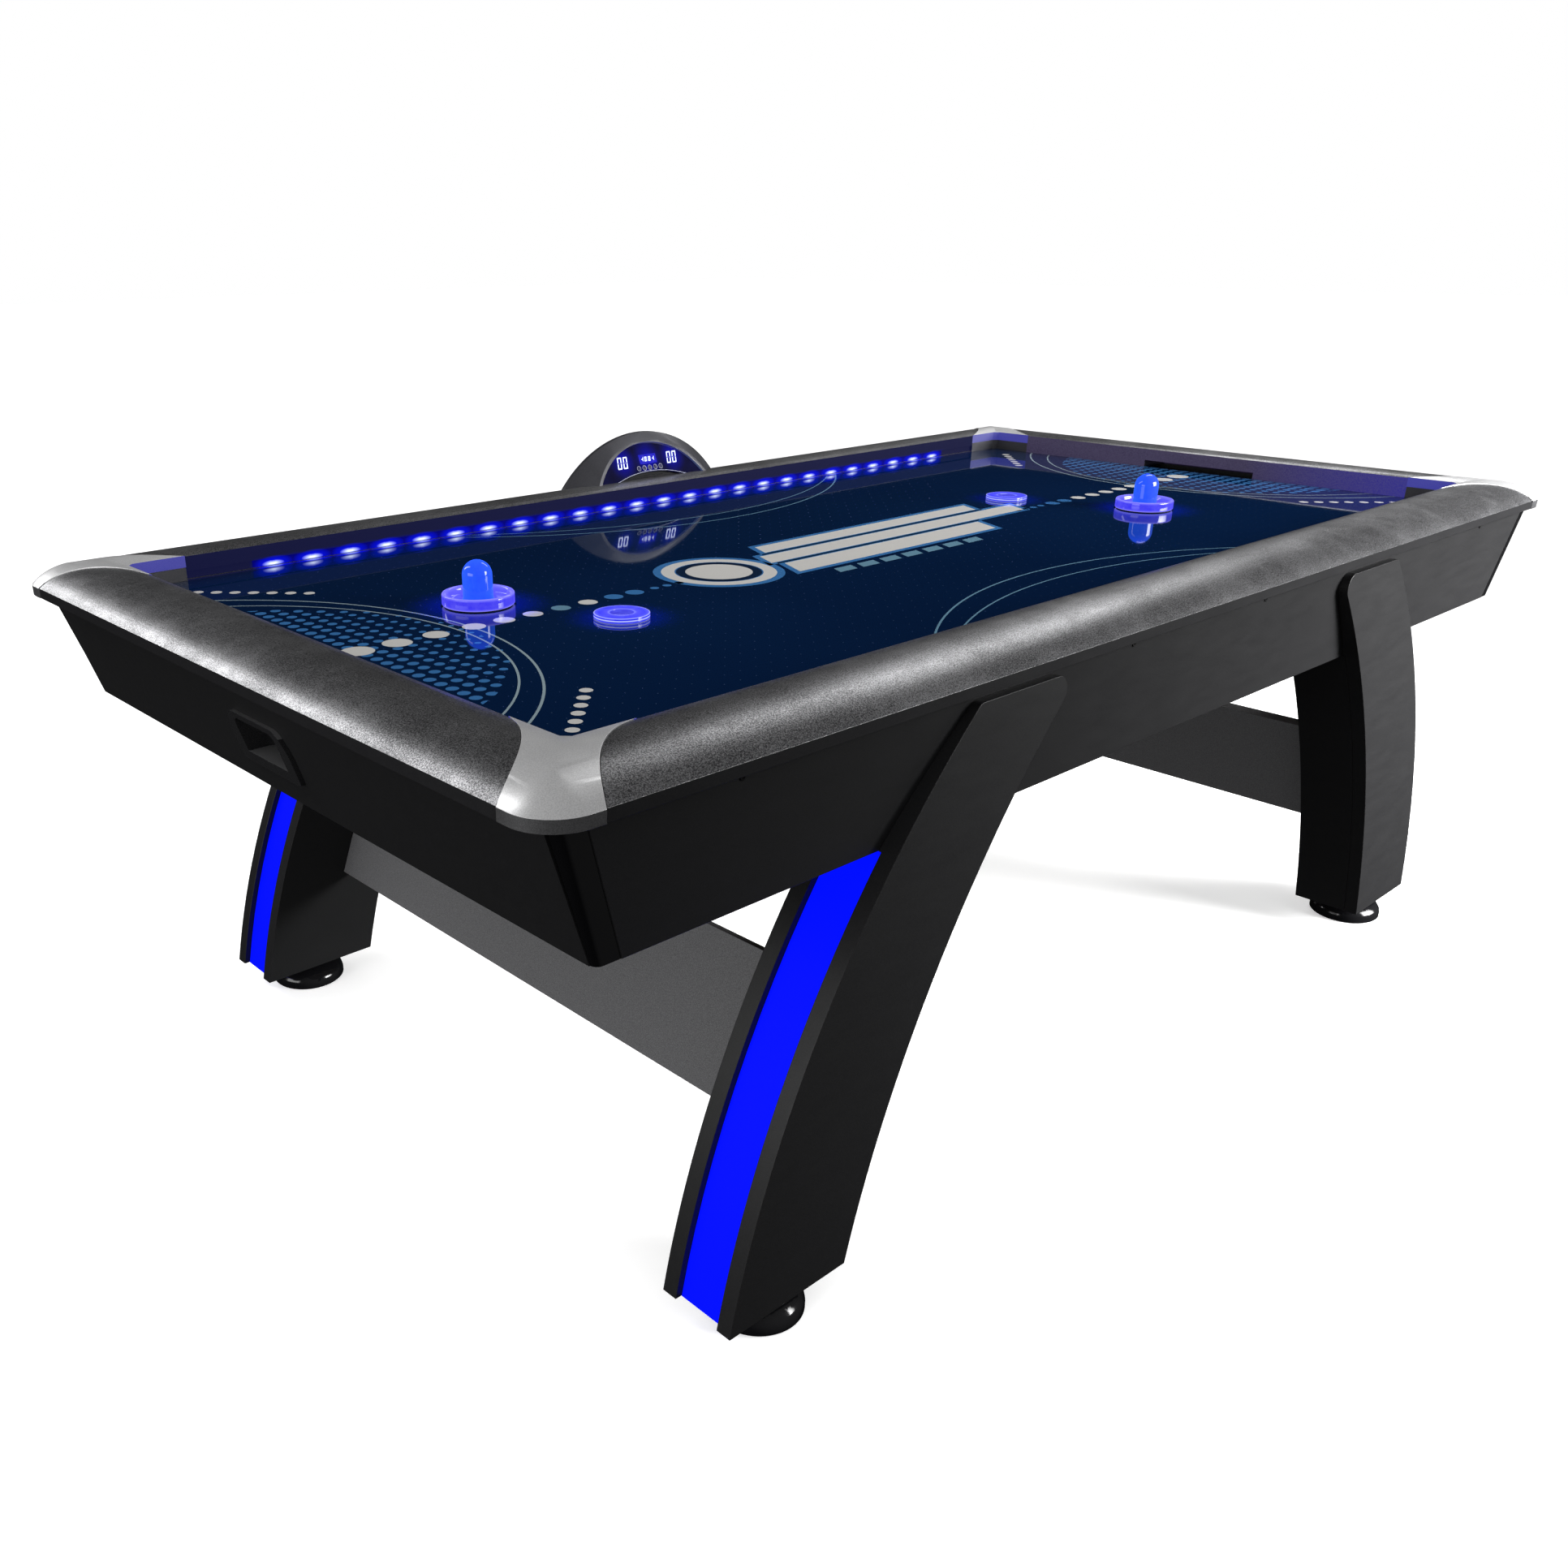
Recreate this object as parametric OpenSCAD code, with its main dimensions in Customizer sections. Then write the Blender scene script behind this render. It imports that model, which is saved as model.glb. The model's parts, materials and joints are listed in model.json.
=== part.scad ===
// Full-size arcade air hockey table: barrel rails with cast corner caps, a slick
// playing bed over an air plenum, swept box legs with light bars, a domed scorer,
// two strikers and two pucks. X runs along the table, Z is up, the floor is z = 0.

/* [Table] */
// Length over the end rails
table_l = 2286; // [2100:1:2450]
// Width over the side rails
table_w = 1219; // [1150:1:1300]
// Height of the playing surface above the floor
bed_z = 729; // [700:1:760]
// Thickness of the playing bed
bed_t = 6; // [4:0.5:8]

/* [Rails] */
// Width of a rail from its inner face to its outer skirt
rail_w = 112; // [100:1:125]
// Height of the rail's inner edge above the bed
rail_inner_h = 35.5; // [30:0.5:45]
// Height of the rail's crown above the bed
rail_crown_h = 41; // [36:0.5:50]
// Distance from the inner face to the crown
crown_in = 30; // [20:1:45]
// Half-width of the ellipse that shapes a rail's barrel
barrel_a = 95; // [88:0.5:110]
// Half-height of the ellipse that shapes a rail's barrel
barrel_b = 59.6; // [50:0.1:62]
// How far the skirt hangs below the bed's surface
skirt_drop = 1; // [0.5:0.5:2]
// How far a corner cap stands proud of the rails
cap_proud = 1.2; // [0.6:0.1:2]
// Outer corner radius of a cap
cap_r = 52; // [40:1:60]
// Radius of the curved seam between a cap and a rail
seam_r = 221; // [217:1:226]
// Height of the lip that a cap turns down over the inner face
cap_lip = 16; // [10:1:20]

/* [Goals] */
// Width of a goal slot
goal_w = 237; // [200:1:260]
// Height of a goal slot
goal_h = 13; // [10:0.5:16]
// Width of the opening of a puck return
cup_w = 98; // [90:1:110]
// Height of the sill of a puck return above the floor
cup_z = 621; // [612:1:628]

/* [Aprons] */
// Height of the lower edge of the aprons above the floor
apron_z = 570; // [560:1:590]
// How far the end aprons stand in from the rails at their lower edge
end_inset = 77; // [70:1:85]
// How far the end aprons stand in from the rails at their upper edge
end_inset_top = 26.5; // [22:0.5:32]
// How far the side aprons stand in from the rails at their lower edge
side_inset = 31.5; // [28:0.5:36]
// How far the side aprons stand in from the rails at their upper edge
side_inset_top = 17; // [14:0.5:20]
// Thickness of the panels of the aprons
apron_t = 16; // [12:1:18]

/* [Legs] */
// Distance from the table's centre plane to the outer face of a leg
leg_y = 604; // [600:1:606]
// Width of a leg across its two side panels
leg_w = 112; // [100:1:120]
// Thickness of a leg's side panels
leg_t = 22; // [18:1:26]
// Height of the lower end of a leg
leg_z = 42; // [38:1:48]
// Height of the upper end of a leg's outer panel
leg_top = 717; // [700:1:722]
// Radius of the curve of a leg's outer edge
leg_front_r = 1295; // [1290:1:1300]
// Radius of the curve of a leg's inner edge
leg_back_r = 1449; // [1444:1:1454]
// How far the light bar is set back from a leg's outer edge
light_set = 9; // [6:1:14]
// Diameter of a leveler's foot
foot_d = 119; // [100:1:125]
// Travel of a leveler
foot_travel = 20; // [10:1:30]

/* [Play pieces] */
// Diameter of a striker
striker_d = 99; // [90:1:104]
// Height of a striker
striker_h = 61; // [50:1:70]
// Diameter of a puck
puck_d = 74.5; // [60:0.5:80]
// Thickness of a puck
puck_t = 7; // [5:0.5:9]

/* [Hidden] */

half_l = table_l / 2;
half_w = table_w / 2;
inner_x = half_l - rail_w;
inner_y = half_w - rail_w;
skirt_z = bed_z - skirt_drop;
bed_under = 44;
seam_c = [-99, 265];
apron_h = skirt_z - apron_z;
round_fn = 240;

// Heights over the bed along the top of a rail, from its inner face outwards.
function barrel(s) = rail_crown_h
    - barrel_b * (1 - sqrt(1 - pow((s - crown_in) / barrel_a, 2)));
function rail_top(width, lift) = concat(
    [for (i = [0:5]) let (s = crown_in * i / 5, k = 1 - i / 5)
        [s, lift + rail_crown_h - (rail_crown_h - rail_inner_h) * k * k]],
    [for (i = [1:4]) let (s = crown_in + (width - cap_r - crown_in) * i / 4) [s, lift + barrel(s)]],
    [for (i = [1:12]) let (s = width - cap_r + cap_r * i / 12) [s, lift + barrel(s)]]);

function outward(points, width) = [for (p = points) [width - p[0], p[1]]];

module along_x(length) rotate([90, 0, 90]) linear_extrude(length) children();
module along_y(length) translate([0, length, 0]) rotate([90, 0, 0])
    linear_extrude(length) children();

// Section of a rail: first value is the distance in from the outer skirt.
module rail_section(channel) {
    width = rail_w - cap_proud;
    translate([cap_proud, bed_z]) difference() {
        polygon(outward(concat(rail_top(width, 0),
            [[width, -skirt_drop], [bed_under, -skirt_drop], [bed_under, 0], [0, 0]]),
            width));
        if (channel) translate([width - 6, 2]) square([7, 12]);
    }
}

// The stretch of a rail between its two curved cap seams, seen from above.
module between_seams(length) {
    gap = 0.5;
    for (x = [seam_c[1], length - seam_c[1]])
        translate([x, seam_c[0], bed_z - 20]) cylinder(r = seam_r - gap, h = 80, $fn = round_fn);
    translate([seam_c[1], -1, bed_z - 20]) cube([length - 2 * seam_c[1], rail_w + 2, 80]);
}

module side_rail() {
    translate([-half_l, -half_w, 0]) intersection() {
        along_x(table_l) rail_section(true);
        between_seams(table_l);
    }
}

module end_rail() {
    color("#55585c") difference() {
        translate([-half_l, -half_w, 0]) intersection() {
            along_y(table_w) rail_section(false);
            mirror([1, -1, 0]) between_seams(table_w);
        }
        translate([-inner_x - 83, -goal_w / 2, bed_z - 5]) cube([84, goal_w, goal_h + 5]);
    }
}

module rail_front() { color("#55585c") side_rail(); }
module rail_back() { color("#55585c") mirror([0, 1, 0]) side_rail(); }
module rail_left() { end_rail(); }
module rail_right() { mirror([1, 0, 0]) end_rail(); }

// Corner-local plan: origin at the outer corner, both axes run inwards along the rails.
module cap_top_section() {
    polygon(outward(concat(rail_top(rail_w, cap_proud), [[rail_w, -skirt_drop], [0, -skirt_drop]]),
                    rail_w));
}

module cap_seams(gap) {
    for (c = [seam_c, [seam_c[1], seam_c[0]]])
        translate([c[0], c[1], bed_z - 20]) cylinder(r = seam_r + gap, h = 80, $fn = round_fn);
}

module chamfer(z0, z1) {
    translate([rail_w - 1, rail_w - 1, z0]) linear_extrude(z1 - z0)
        polygon([[0, 0], [10, 0], [10, 1], [1, 10], [0, 10]]);
}

module cap() {
    reach = 210;
    outer_top = [for (p = rail_top(rail_w, cap_proud)) if (p[0] > rail_w - cap_r - 0.01)
                 [p[0] - rail_w + cap_r, p[1]]];
    color("#b9bcc0") difference() {
        union() {
            translate([0, 0, bed_z]) {
                intersection() {
                    along_y(reach) cap_top_section();
                    translate([0, 0, -5]) linear_extrude(60)
                        polygon([[0, cap_r], [cap_r, cap_r], [reach, reach], [0, reach]]);
                }
                intersection() {
                    along_x(reach) cap_top_section();
                    translate([0, 0, -5]) linear_extrude(60)
                        polygon([[cap_r, 0], [reach, 0], [reach, reach], [cap_r, cap_r]]);
                }
                intersection() {
                    translate([cap_r, cap_r, 0]) rotate_extrude($fn = 96)
                        polygon(concat(outer_top, [[cap_r, -skirt_drop], [0, -skirt_drop]]));
                    translate([0, 0, -5]) cube([cap_r, cap_r, 60]);
                }
            }
            chamfer(bed_z + rail_inner_h - cap_lip, bed_z + rail_inner_h + cap_proud);
        }
        cap_seams(0);
        // The cap is open underneath, inside its outer skirt.
        translate([cap_r, cap_r, bed_z - 10]) cylinder(r = cap_r - 9, h = lip_z() - bed_z + 10, $fn = 96);
        translate([9, cap_r, bed_z - 10]) cube([reach, reach, lip_z() - bed_z + 10]);
        translate([cap_r, 9, bed_z - 10]) cube([reach, reach, lip_z() - bed_z + 10]);
        // Hollow under the crown, which keeps the casting's wall even.
        translate([34, 34, lip_z() - 1]) cube([54, 54, 8]);
    }
}
function lip_z() = bed_z + rail_inner_h - cap_lip;

// Puts a front-left piece, drawn in corner-local plan, at one of the four corners.
module at_corner(sx, sy) {
    scale_x = sx > 0 ? 1 : 0;
    scale_y = sy > 0 ? 1 : 0;
    mirror([scale_x, 0, 0]) mirror([0, scale_y, 0]) translate([-half_l, -half_w, 0]) children();
}

module corner_cap_front_left() { at_corner(-1, -1) cap(); }
module corner_cap_front_right() { at_corner(1, -1) cap(); }
module corner_cap_back_left() { at_corner(-1, 1) cap(); }
module corner_cap_back_right() { at_corner(1, 1) cap(); }

// Blocks that carry the caps and close the inner face below their lips.
module corner_blocks() {
    arm = 200;
    for (sx = [-1, 1], sy = [-1, 1]) at_corner(sx, sy)
        color("#26282c") difference() {
            union() {
                translate([56, 56, bed_z]) cube([rail_w - 56, arm - 56 + 12, lip_z() - bed_z]);
                translate([56, 56, bed_z]) cube([arm - 56 + 12, rail_w - 56, lip_z() - bed_z]);
                chamfer(bed_z, lip_z());
            }
            cap_seams(0.2);
        }
}

// A row of lamps on a flat strip, set in the channel of a side rail.
module led_strip() {
    lamps = 25;
    pitch = 67;
    depth = half_w - rail_w + 6;
    translate([-lamps * pitch / 2, -depth, bed_z + 3]) color("#e8ecff") cube([lamps * pitch, 1.4, 10]);
    for (i = [0:lamps - 1])
        translate([(i - (lamps - 1) / 2) * pitch - 3, -depth + 1.4, bed_z + 5.5])
            color("#3050ff") cube([6, 1.4, 5]);
}
module led_strip_front() { led_strip(); }
module led_strip_back() { mirror([0, 1, 0]) led_strip(); }

module bed() {
    l = inner_x + bed_under;
    w = inner_y + bed_under;
    color("#0c2350") difference() {
        translate([-l, -w, bed_z - bed_t]) cube([2 * l, 2 * w, bed_t]);
        for (s = [-1, 1]) translate([s * (inner_x + 2 + 30) - 30, -goal_w / 2, bed_z - bed_t - 1])
            cube([60, goal_w, bed_t + 2]);
    }
}

plenum_h = 40;
plenum_z = bed_z - bed_t - plenum_h;
plenum_l = inner_x - 1;
plenum_w = inner_y + 36;
floor_t = 9;
blower_r = 98;

module plenum_frame() {
    wall = 18;
    color("#8a6f4d") difference() {
        translate([-plenum_l, -plenum_w, plenum_z]) cube([2 * plenum_l, 2 * plenum_w, plenum_h]);
        bays = 5;
        bay = (2 * plenum_l - wall) / bays;
        for (i = [0:bays - 1])
            translate([-plenum_l + wall + i * bay, -plenum_w + wall, plenum_z - 1])
                cube([bay - wall, 2 * plenum_w - 2 * wall, plenum_h + 2]);
        // Windows in the ribs let the air reach every bay.
        for (y = [-400:200:400])
            translate([-plenum_l + wall + 1, y - 60, plenum_z + 8])
                cube([2 * plenum_l - 2 * wall - 2, 120, 24]);
    }
}

module plenum_floor() {
    color("#7b6446") difference() {
        translate([-plenum_l, -plenum_w, plenum_z - floor_t])
            cube([2 * plenum_l, 2 * plenum_w, floor_t]);
        translate([0, 0, plenum_z - floor_t - 1]) cylinder(r = blower_r, h = floor_t + 2, $fn = 96);
    }
}

beam_h = 40;
beam_z = plenum_z - floor_t - beam_h;
module cross_beams() {
    color("#7b6446") for (x = [-760, -300, 300, 760])
        translate([x - 18, -(half_w - 52), beam_z]) cube([36, 2 * (half_w - 52), beam_h]);
}

// Aprons lean in towards the floor.
side_lean = atan((side_inset - side_inset_top) / apron_h);
post_w = 32;
side_run = apron_t / cos(side_lean);
module side_apron() {
    top = half_l - end_inset_top - post_w;
    low = half_l - end_inset - post_w;
    y_top = side_inset_top - half_w;
    y_low = side_inset - half_w;
    intersection() {
        translate([-half_l, 0, 0]) along_x(table_l)
            polygon([[y_low, apron_z], [y_low + side_run, apron_z],
                     [y_top + side_run, skirt_z], [y_top, skirt_z]]);
        translate([0, -half_w, 0]) along_y(100)
            polygon([[-low, apron_z], [low, apron_z], [top, skirt_z], [-top, skirt_z]]);
    }
}
module apron_front() { color("#1b1c1f") side_apron(); }
module apron_back() { color("#1b1c1f") mirror([0, 1, 0]) side_apron(); }

end_lean = atan((end_inset - end_inset_top) / apron_h);
end_run = apron_t / cos(end_lean);
end_half = half_w - 41;
function end_outer(z) = half_l - end_inset + (z - apron_z) * tan(end_lean);
module end_section(t_in, t_out) {
    polygon([[end_outer(apron_z) - t_in, apron_z], [end_outer(apron_z) + t_out, apron_z],
             [end_outer(skirt_z) + t_out, skirt_z], [end_outer(skirt_z) - t_in, skirt_z]]);
}
cup_h = 47;
cup_proud = 6;
lining = 2.5;
module cup_mouth(grow) {
    r = 12 + grow;
    half = cup_w / 2 + grow;
    for (s = [-1, 1]) translate([s * (half - r), cup_z + cup_h + grow - r]) circle(r, $fn = 48);
    translate([-half, cup_z - grow]) square([2 * half, cup_h + 2 * grow - r]);
    translate([-half + r, cup_z - grow]) square([2 * half - 2 * r, cup_h + 2 * grow]);
}
module end_apron() {
    color("#1b1c1f") difference() {
        translate([0, -end_half, 0]) along_y(2 * end_half) end_section(end_run, 0);
        translate([end_outer(apron_z) - 40, 0, 0]) along_x(120) cup_mouth(lining + 0.2);
    }
}
module apron_left() { mirror([1, 0, 0]) end_apron(); }
module apron_right() { end_apron(); }

// Rounded strips that close the four corners between the aprons, a touch recessed.
module corner_post() {
    back = 1.5;
    r = 9;
    module slice(z, end_in, side_in) {
        x = end_in + back;
        y = side_in + back;
        inner_y_edge = half_w - end_half - 0.3;
        corner = min(r, inner_y_edge - y);
        translate([0, 0, z]) linear_extrude(0.5) intersection() {
            union() {
                translate([x + r, y + r]) circle(r, $fn = 32);
                translate([x + r, y]) square([post_w - r - back - 0.3, r]);
                translate([x, y + corner]) square([post_w - back - 0.3, r]);
            }
            translate([x, y]) square([post_w, inner_y_edge - y]);
        }
    }
    hull() {
        slice(skirt_z - 0.5, end_inset_top, side_inset_top);
        slice(apron_z, end_inset, side_inset);
    }
}
module corner_posts() {
    color("#08090a") for (sx = [-1, 1], sy = [-1, 1]) at_corner(sx, sy) corner_post();
}

// A moulded return: the puck drops behind the goal, slides to the middle and lies in
// a round-backed cup that opens through the end apron.
cup_c = end_outer(cup_z) - end_run - 1.5;
cup_back = 32;
module cup_plan(grow) {
    half = cup_w / 2 + grow;
    polygon(concat([for (a = [-90:6:90]) [cup_c - (cup_back + grow) * cos(a), half * sin(a)]],
                   [[cup_c + 60, half], [cup_c + 60, -half]]));
}
module behind_apron(gap) {
    translate([-gap, -200, 0]) along_y(400) end_section(80, -end_run);
}
module puck_return() {
    half = cup_w / 2;
    wall = 2.5;
    rim_z = cup_z + cup_h;
    top_z = bed_z - bed_t;
    side = goal_w / 2 + 4;
    color("#141517") difference() {
        union() {
            // Cup behind the apron, its rim and the back wall of the shaft over it.
            intersection() {
                union() {
                    translate([0, 0, cup_z - wall]) linear_extrude(cup_h + wall) cup_plan(wall);
                    translate([plenum_l, -half - wall, rim_z - wall]) cube([70, cup_w + 2 * wall, wall]);
                    translate([plenum_l, -side, rim_z - wall]) cube([wall, 2 * side, top_z - rim_z + wall]);
                    // Slanted floors, one from each end of the goal, and the shaft's sides.
                    for (s = [0, 1]) mirror([0, s, 0]) translate([plenum_l, 0, 0]) {
                        along_x(70) polygon([[half, rim_z - wall], [side, top_z - 24 - wall],
                                             [side, top_z - 24], [half, rim_z]]);
                        translate([0, side, top_z - 27]) cube([70, wall, 27]);
                    }
                }
                behind_apron(0.4);
            }
            // Lining of the hole through the apron.
            intersection() {
                translate([0, -100, 0]) along_y(200) end_section(end_run + 2, 1);
                translate([end_outer(apron_z) - 40, 0, 0]) along_x(140) cup_mouth(lining);
            }
            // Flange round the mouth, on the slanted face of the apron.
            intersection() {
                translate([0, -100, 0]) along_y(200) end_section(0, cup_proud);
                translate([end_outer(apron_z) - 40, 0, 0]) along_x(140) cup_flange();
            }
        }
        intersection() {
            translate([0, 0, cup_z]) linear_extrude(cup_h + 1) cup_plan(0);
            behind_apron(0);
        }
        translate([cup_c + 0.5, 0, 0]) along_x(100) cup_mouth(0);
    }
}
module cup_flange() {
    half = [[64, -15], [69, -13], [71, -8], [71, 24], [69, 32], [62, 46], [57, 52], [50, 55]];
    polygon(concat([for (p = half) [p[0], cup_z + p[1]]],
                   [for (i = [7:-1:0]) [-half[i][0], cup_z + half[i][1]]]));
}
module puck_return_left() { mirror([1, 0, 0]) puck_return(); }
module puck_return_right() { puck_return(); }

// Small dark screws along the upper edge of the side aprons.
module apron_screws() {
    drop = 9;
    color("#0b0b0c") for (s = [0, 1], x = [-895, -210, 130, 895])
        mirror([0, s, 0])
            translate([x, -(half_w - side_inset_top), skirt_z]) rotate([90 + side_lean, 0, 0])
                translate([0, -drop, 0]) difference() {
                    cylinder(r = 3.5, h = 1.2, $fn = 24);
                    translate([0, 0, 0.5]) cylinder(r = 1.4, h = 1, $fn = 24);
                }
}

// Legs: two arcs in the plane of the side panels, drawn for the right-hand end.
front_c = [-368, -209];
back_c = [-706, -282];
module leg_band(z0, z1, from_front, from_back) {
    intersection() {
        difference() {
            translate(front_c) circle(leg_front_r - from_front, $fn = round_fn);
            translate(back_c) circle(leg_back_r + from_back, $fn = round_fn);
        }
        translate([200, z0]) square([800, z1 - z0]);
    }
}
// Rounds a corner between the level top and an arc, by cutting outside a circle.
module corner_cut(c, r, toward) {
    difference() {
        polygon([c, [c[0], leg_top + 2], [c[0] + toward[0] * 60, leg_top + 2],
                 c + toward[1] * (r + 4)]);
        translate(c) circle(r, $fn = 64);
    }
}
module leg_outline() {
    r_b = 20;
    r_f = 15;
    z_b = leg_top - r_b;
    z_f = leg_top - r_f;
    x_b = back_c[0] + sqrt(pow(leg_back_r + r_b, 2) - pow(z_b - back_c[1], 2));
    x_f = front_c[0] + sqrt(pow(leg_front_r - r_f, 2) - pow(z_f - front_c[1], 2));
    difference() {
        leg_band(leg_z, leg_top, 0, 0);
        corner_cut([x_b, z_b], r_b, [-1, (back_c - [x_b, z_b]) / (leg_back_r + r_b)]);
        corner_cut([x_f, z_f], r_f, [1, ([x_f, z_f] - front_c) / (leg_front_r - r_f)]);
    }
}
// Half-space on the room side of the front apron's face.
module outside_apron(z0, z1) {
    function face_y(z) = -(half_w - side_inset) - (z - apron_z) * tan(side_lean) - 0.1;
    translate([200, 0, 0]) along_x(700)
        polygon([[face_y(z0), z0], [-leg_y - 5, z0], [-leg_y - 5, z1], [face_y(z1), z1]]);
}
module leg_panel() {
    color("#17181a") intersection() {
        translate([0, -leg_y, 0]) along_y(40) leg_outline();
        union() {
            translate([200, -leg_y, leg_z - 1]) cube([800, leg_t, apron_z - leg_z + 1]);
            outside_apron(apron_z, leg_top + 1);
        }
    }
}
core_y = -(leg_y - leg_t);
panel_y = -(leg_y - leg_w + leg_t);
foot_x = 801;
foot_y = leg_y - leg_w / 2;
stud_r = 6;
insert_r = 11;
module leg_frame() {
    back_t = 18;
    light_t = 12;
    apron_in = -(half_w - side_inset - apron_t - 1);
    color("#17181a") difference() {
        union() {
            // Inner side panel, up to the floor of the plenum.
            translate([0, panel_y, 0]) along_y(leg_t) leg_band(leg_z, plenum_z - floor_t, 0, 0);
            // Rear web, flush with the inner edges, and the board behind the light bar.
            translate([0, core_y, 0]) along_y(panel_y - core_y) {
                intersection() {
                    leg_band(leg_z, apron_z - 0.5, 0, 0);
                    translate(back_c) circle(leg_back_r + back_t, $fn = round_fn);
                }
                difference() {
                    leg_band(leg_z, apron_z - 0.5, light_set + 6, 0);
                    translate(front_c)
                        circle(leg_front_r - light_set - 6 - light_t, $fn = round_fn);
                }
                leg_band(leg_z, leg_z + 52, light_set + 6, 0);
            }
            // Block that is bolted to the apron from behind.
            translate([0, apron_in, 0]) along_y(panel_y - apron_in)
                leg_band(apron_z, beam_z + beam_h - 12, light_set + 6, 0);
        }
        translate([foot_x, -foot_y, leg_z - 1]) cylinder(r = insert_r, h = 47, $fn = 48);
    }
}
module leg_light() {
    translate([0, core_y + 0.5, 0]) along_y(panel_y - core_y - 1)
        difference() {
            leg_band(leg_z, apron_z - 0.5, light_set, 0);
            translate(front_c) circle(leg_front_r - light_set - 6, $fn = round_fn);
        }
}
module at_leg(sx, sy) {
    mirror([sx < 0 ? 1 : 0, 0, 0]) mirror([0, sy > 0 ? 1 : 0, 0]) children();
}
module leg_panel_front_left() { at_leg(-1, -1) leg_panel(); }
module leg_panel_front_right() { at_leg(1, -1) leg_panel(); }
module leg_panel_back_left() { at_leg(-1, 1) leg_panel(); }
module leg_panel_back_right() { at_leg(1, 1) leg_panel(); }
module leg_frame_front_left() { at_leg(-1, -1) leg_frame(); }
module leg_frame_front_right() { at_leg(1, -1) leg_frame(); }
module leg_frame_back_left() { at_leg(-1, 1) leg_frame(); }
module leg_frame_back_right() { at_leg(1, 1) leg_frame(); }
module leg_lights() {
    color("#0018ff") for (sx = [-1, 1], sy = [-1, 1]) at_leg(sx, sy) leg_light();
}

// Stretcher between the two legs of an end, leaning with them.
stretch_z = 200;
stretch_h = 200;
stretch_t = 18;
stretch_lean = 21;
stretch_x = 744;
module stretcher() {
    color("#202124") translate([stretch_x, panel_y + leg_t, stretch_z]) rotate([0, -stretch_lean, 0])
        translate([-stretch_t, 0, 0]) cube([stretch_t, -2 * (panel_y + leg_t), stretch_h]);
}
module stretcher_left() { mirror([1, 0, 0]) stretcher(); }
module stretcher_right() { stretcher(); }

module bolt() {
    cylinder(r = 9, h = 2, $fn = 32);
    difference() {
        cylinder(r = 6.5, h = 6, $fn = 32);
        translate([0, 0, 3]) cylinder(r = 3, h = 4, $fn = 24);
    }
}
module leg_bolts() {
    color("#2a2b2d") for (sx = [-1, 1], sy = [-1, 1]) at_leg(sx, sy)
        for (p = [[470, 640], [510, 640], [560, 600], [600, 600]])
            translate([p[0], panel_y + leg_t, p[1]]) rotate([-90, 0, 0]) bolt();
}

module leveler_inserts() {
    color("#9a9c9f") for (sx = [-1, 1], sy = [-1, 1]) at_leg(sx, sy)
        translate([foot_x, -foot_y, leg_z]) difference() {
            cylinder(r = insert_r, h = 44, $fn = 48);
            translate([0, 0, -1]) cylinder(r = stud_r + 0.05, h = 50, $fn = 48);
        }
}
module leveler() {
    r = foot_d / 2;
    dome = concat([[0, 0], [r - 2, 0], [r, 2], [r, 9]],
                  [for (a = [15:15:90]) [r - 40 * (1 - cos(a)) * 1.05, 9 + 25 * sin(a)]]);
    color("#0a0a0b") translate([foot_x, -foot_y, 0]) {
        rotate_extrude($fn = 96) polygon(concat(dome, [[0, 34]]));
        translate([0, 0, 30]) cylinder(r = stud_r, h = leg_z + 11, $fn = 48);
    }
}
module leveler_front_left() { at_leg(-1, -1) leveler(); }
module leveler_front_right() { at_leg(1, -1) leveler(); }
module leveler_back_left() { at_leg(-1, 1) leveler(); }
module leveler_back_right() { at_leg(1, 1) leveler(); }

// Centrifugal blower under the middle of the plenum.
blower_z = plenum_z - floor_t;
blower_h = 72;
shaft_r = 4;
module blower_housing() {
    color("#2b2d30") translate([0, 0, blower_z - blower_h]) difference() {
        union() {
            cylinder(r = blower_r + 3, h = blower_h, $fn = 96);
            translate([0, 0, blower_h - 4]) cylinder(r = blower_r + 18, h = 4, $fn = 96);
        }
        translate([0, 0, -1]) cylinder(r = blower_r, h = blower_h + 2, $fn = 96);
        for (a = [45:90:315]) rotate(a) translate([blower_r + 11, 0, 0])
            cylinder(r = 2.5, h = blower_h + 1, $fn = 24);
    }
}
module blower_guard() {
    z = blower_z - blower_h - 3;
    color("#3a3c40") translate([0, 0, z]) {
        difference() {
            cylinder(r = blower_r + 3, h = 3, $fn = 96);
            translate([0, 0, -1]) cylinder(r = blower_r - 8, h = 5, $fn = 96);
        }
        for (r = [56, 74]) difference() {
            cylinder(r = r + 1.5, h = 3, $fn = 96);
            translate([0, 0, -1]) cylinder(r = r - 1.5, h = 5, $fn = 96);
        }
        cylinder(r = 42, h = 3, $fn = 96);
        for (a = [0:45:315]) rotate(a) translate([40, -1.5, 0]) cube([blower_r - 46, 3, 3]);
    }
}
module blower_motor() {
    z = blower_z - blower_h;
    color("#8d9094") translate([0, 0, z]) {
        cylinder(r = 38, h = 30, $fn = 96);
        translate([0, 0, 30]) cylinder(r = 14, h = 4, $fn = 48);
        translate([0, 0, 34]) cylinder(r = shaft_r, h = 17, $fn = 48);
    }
}
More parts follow.
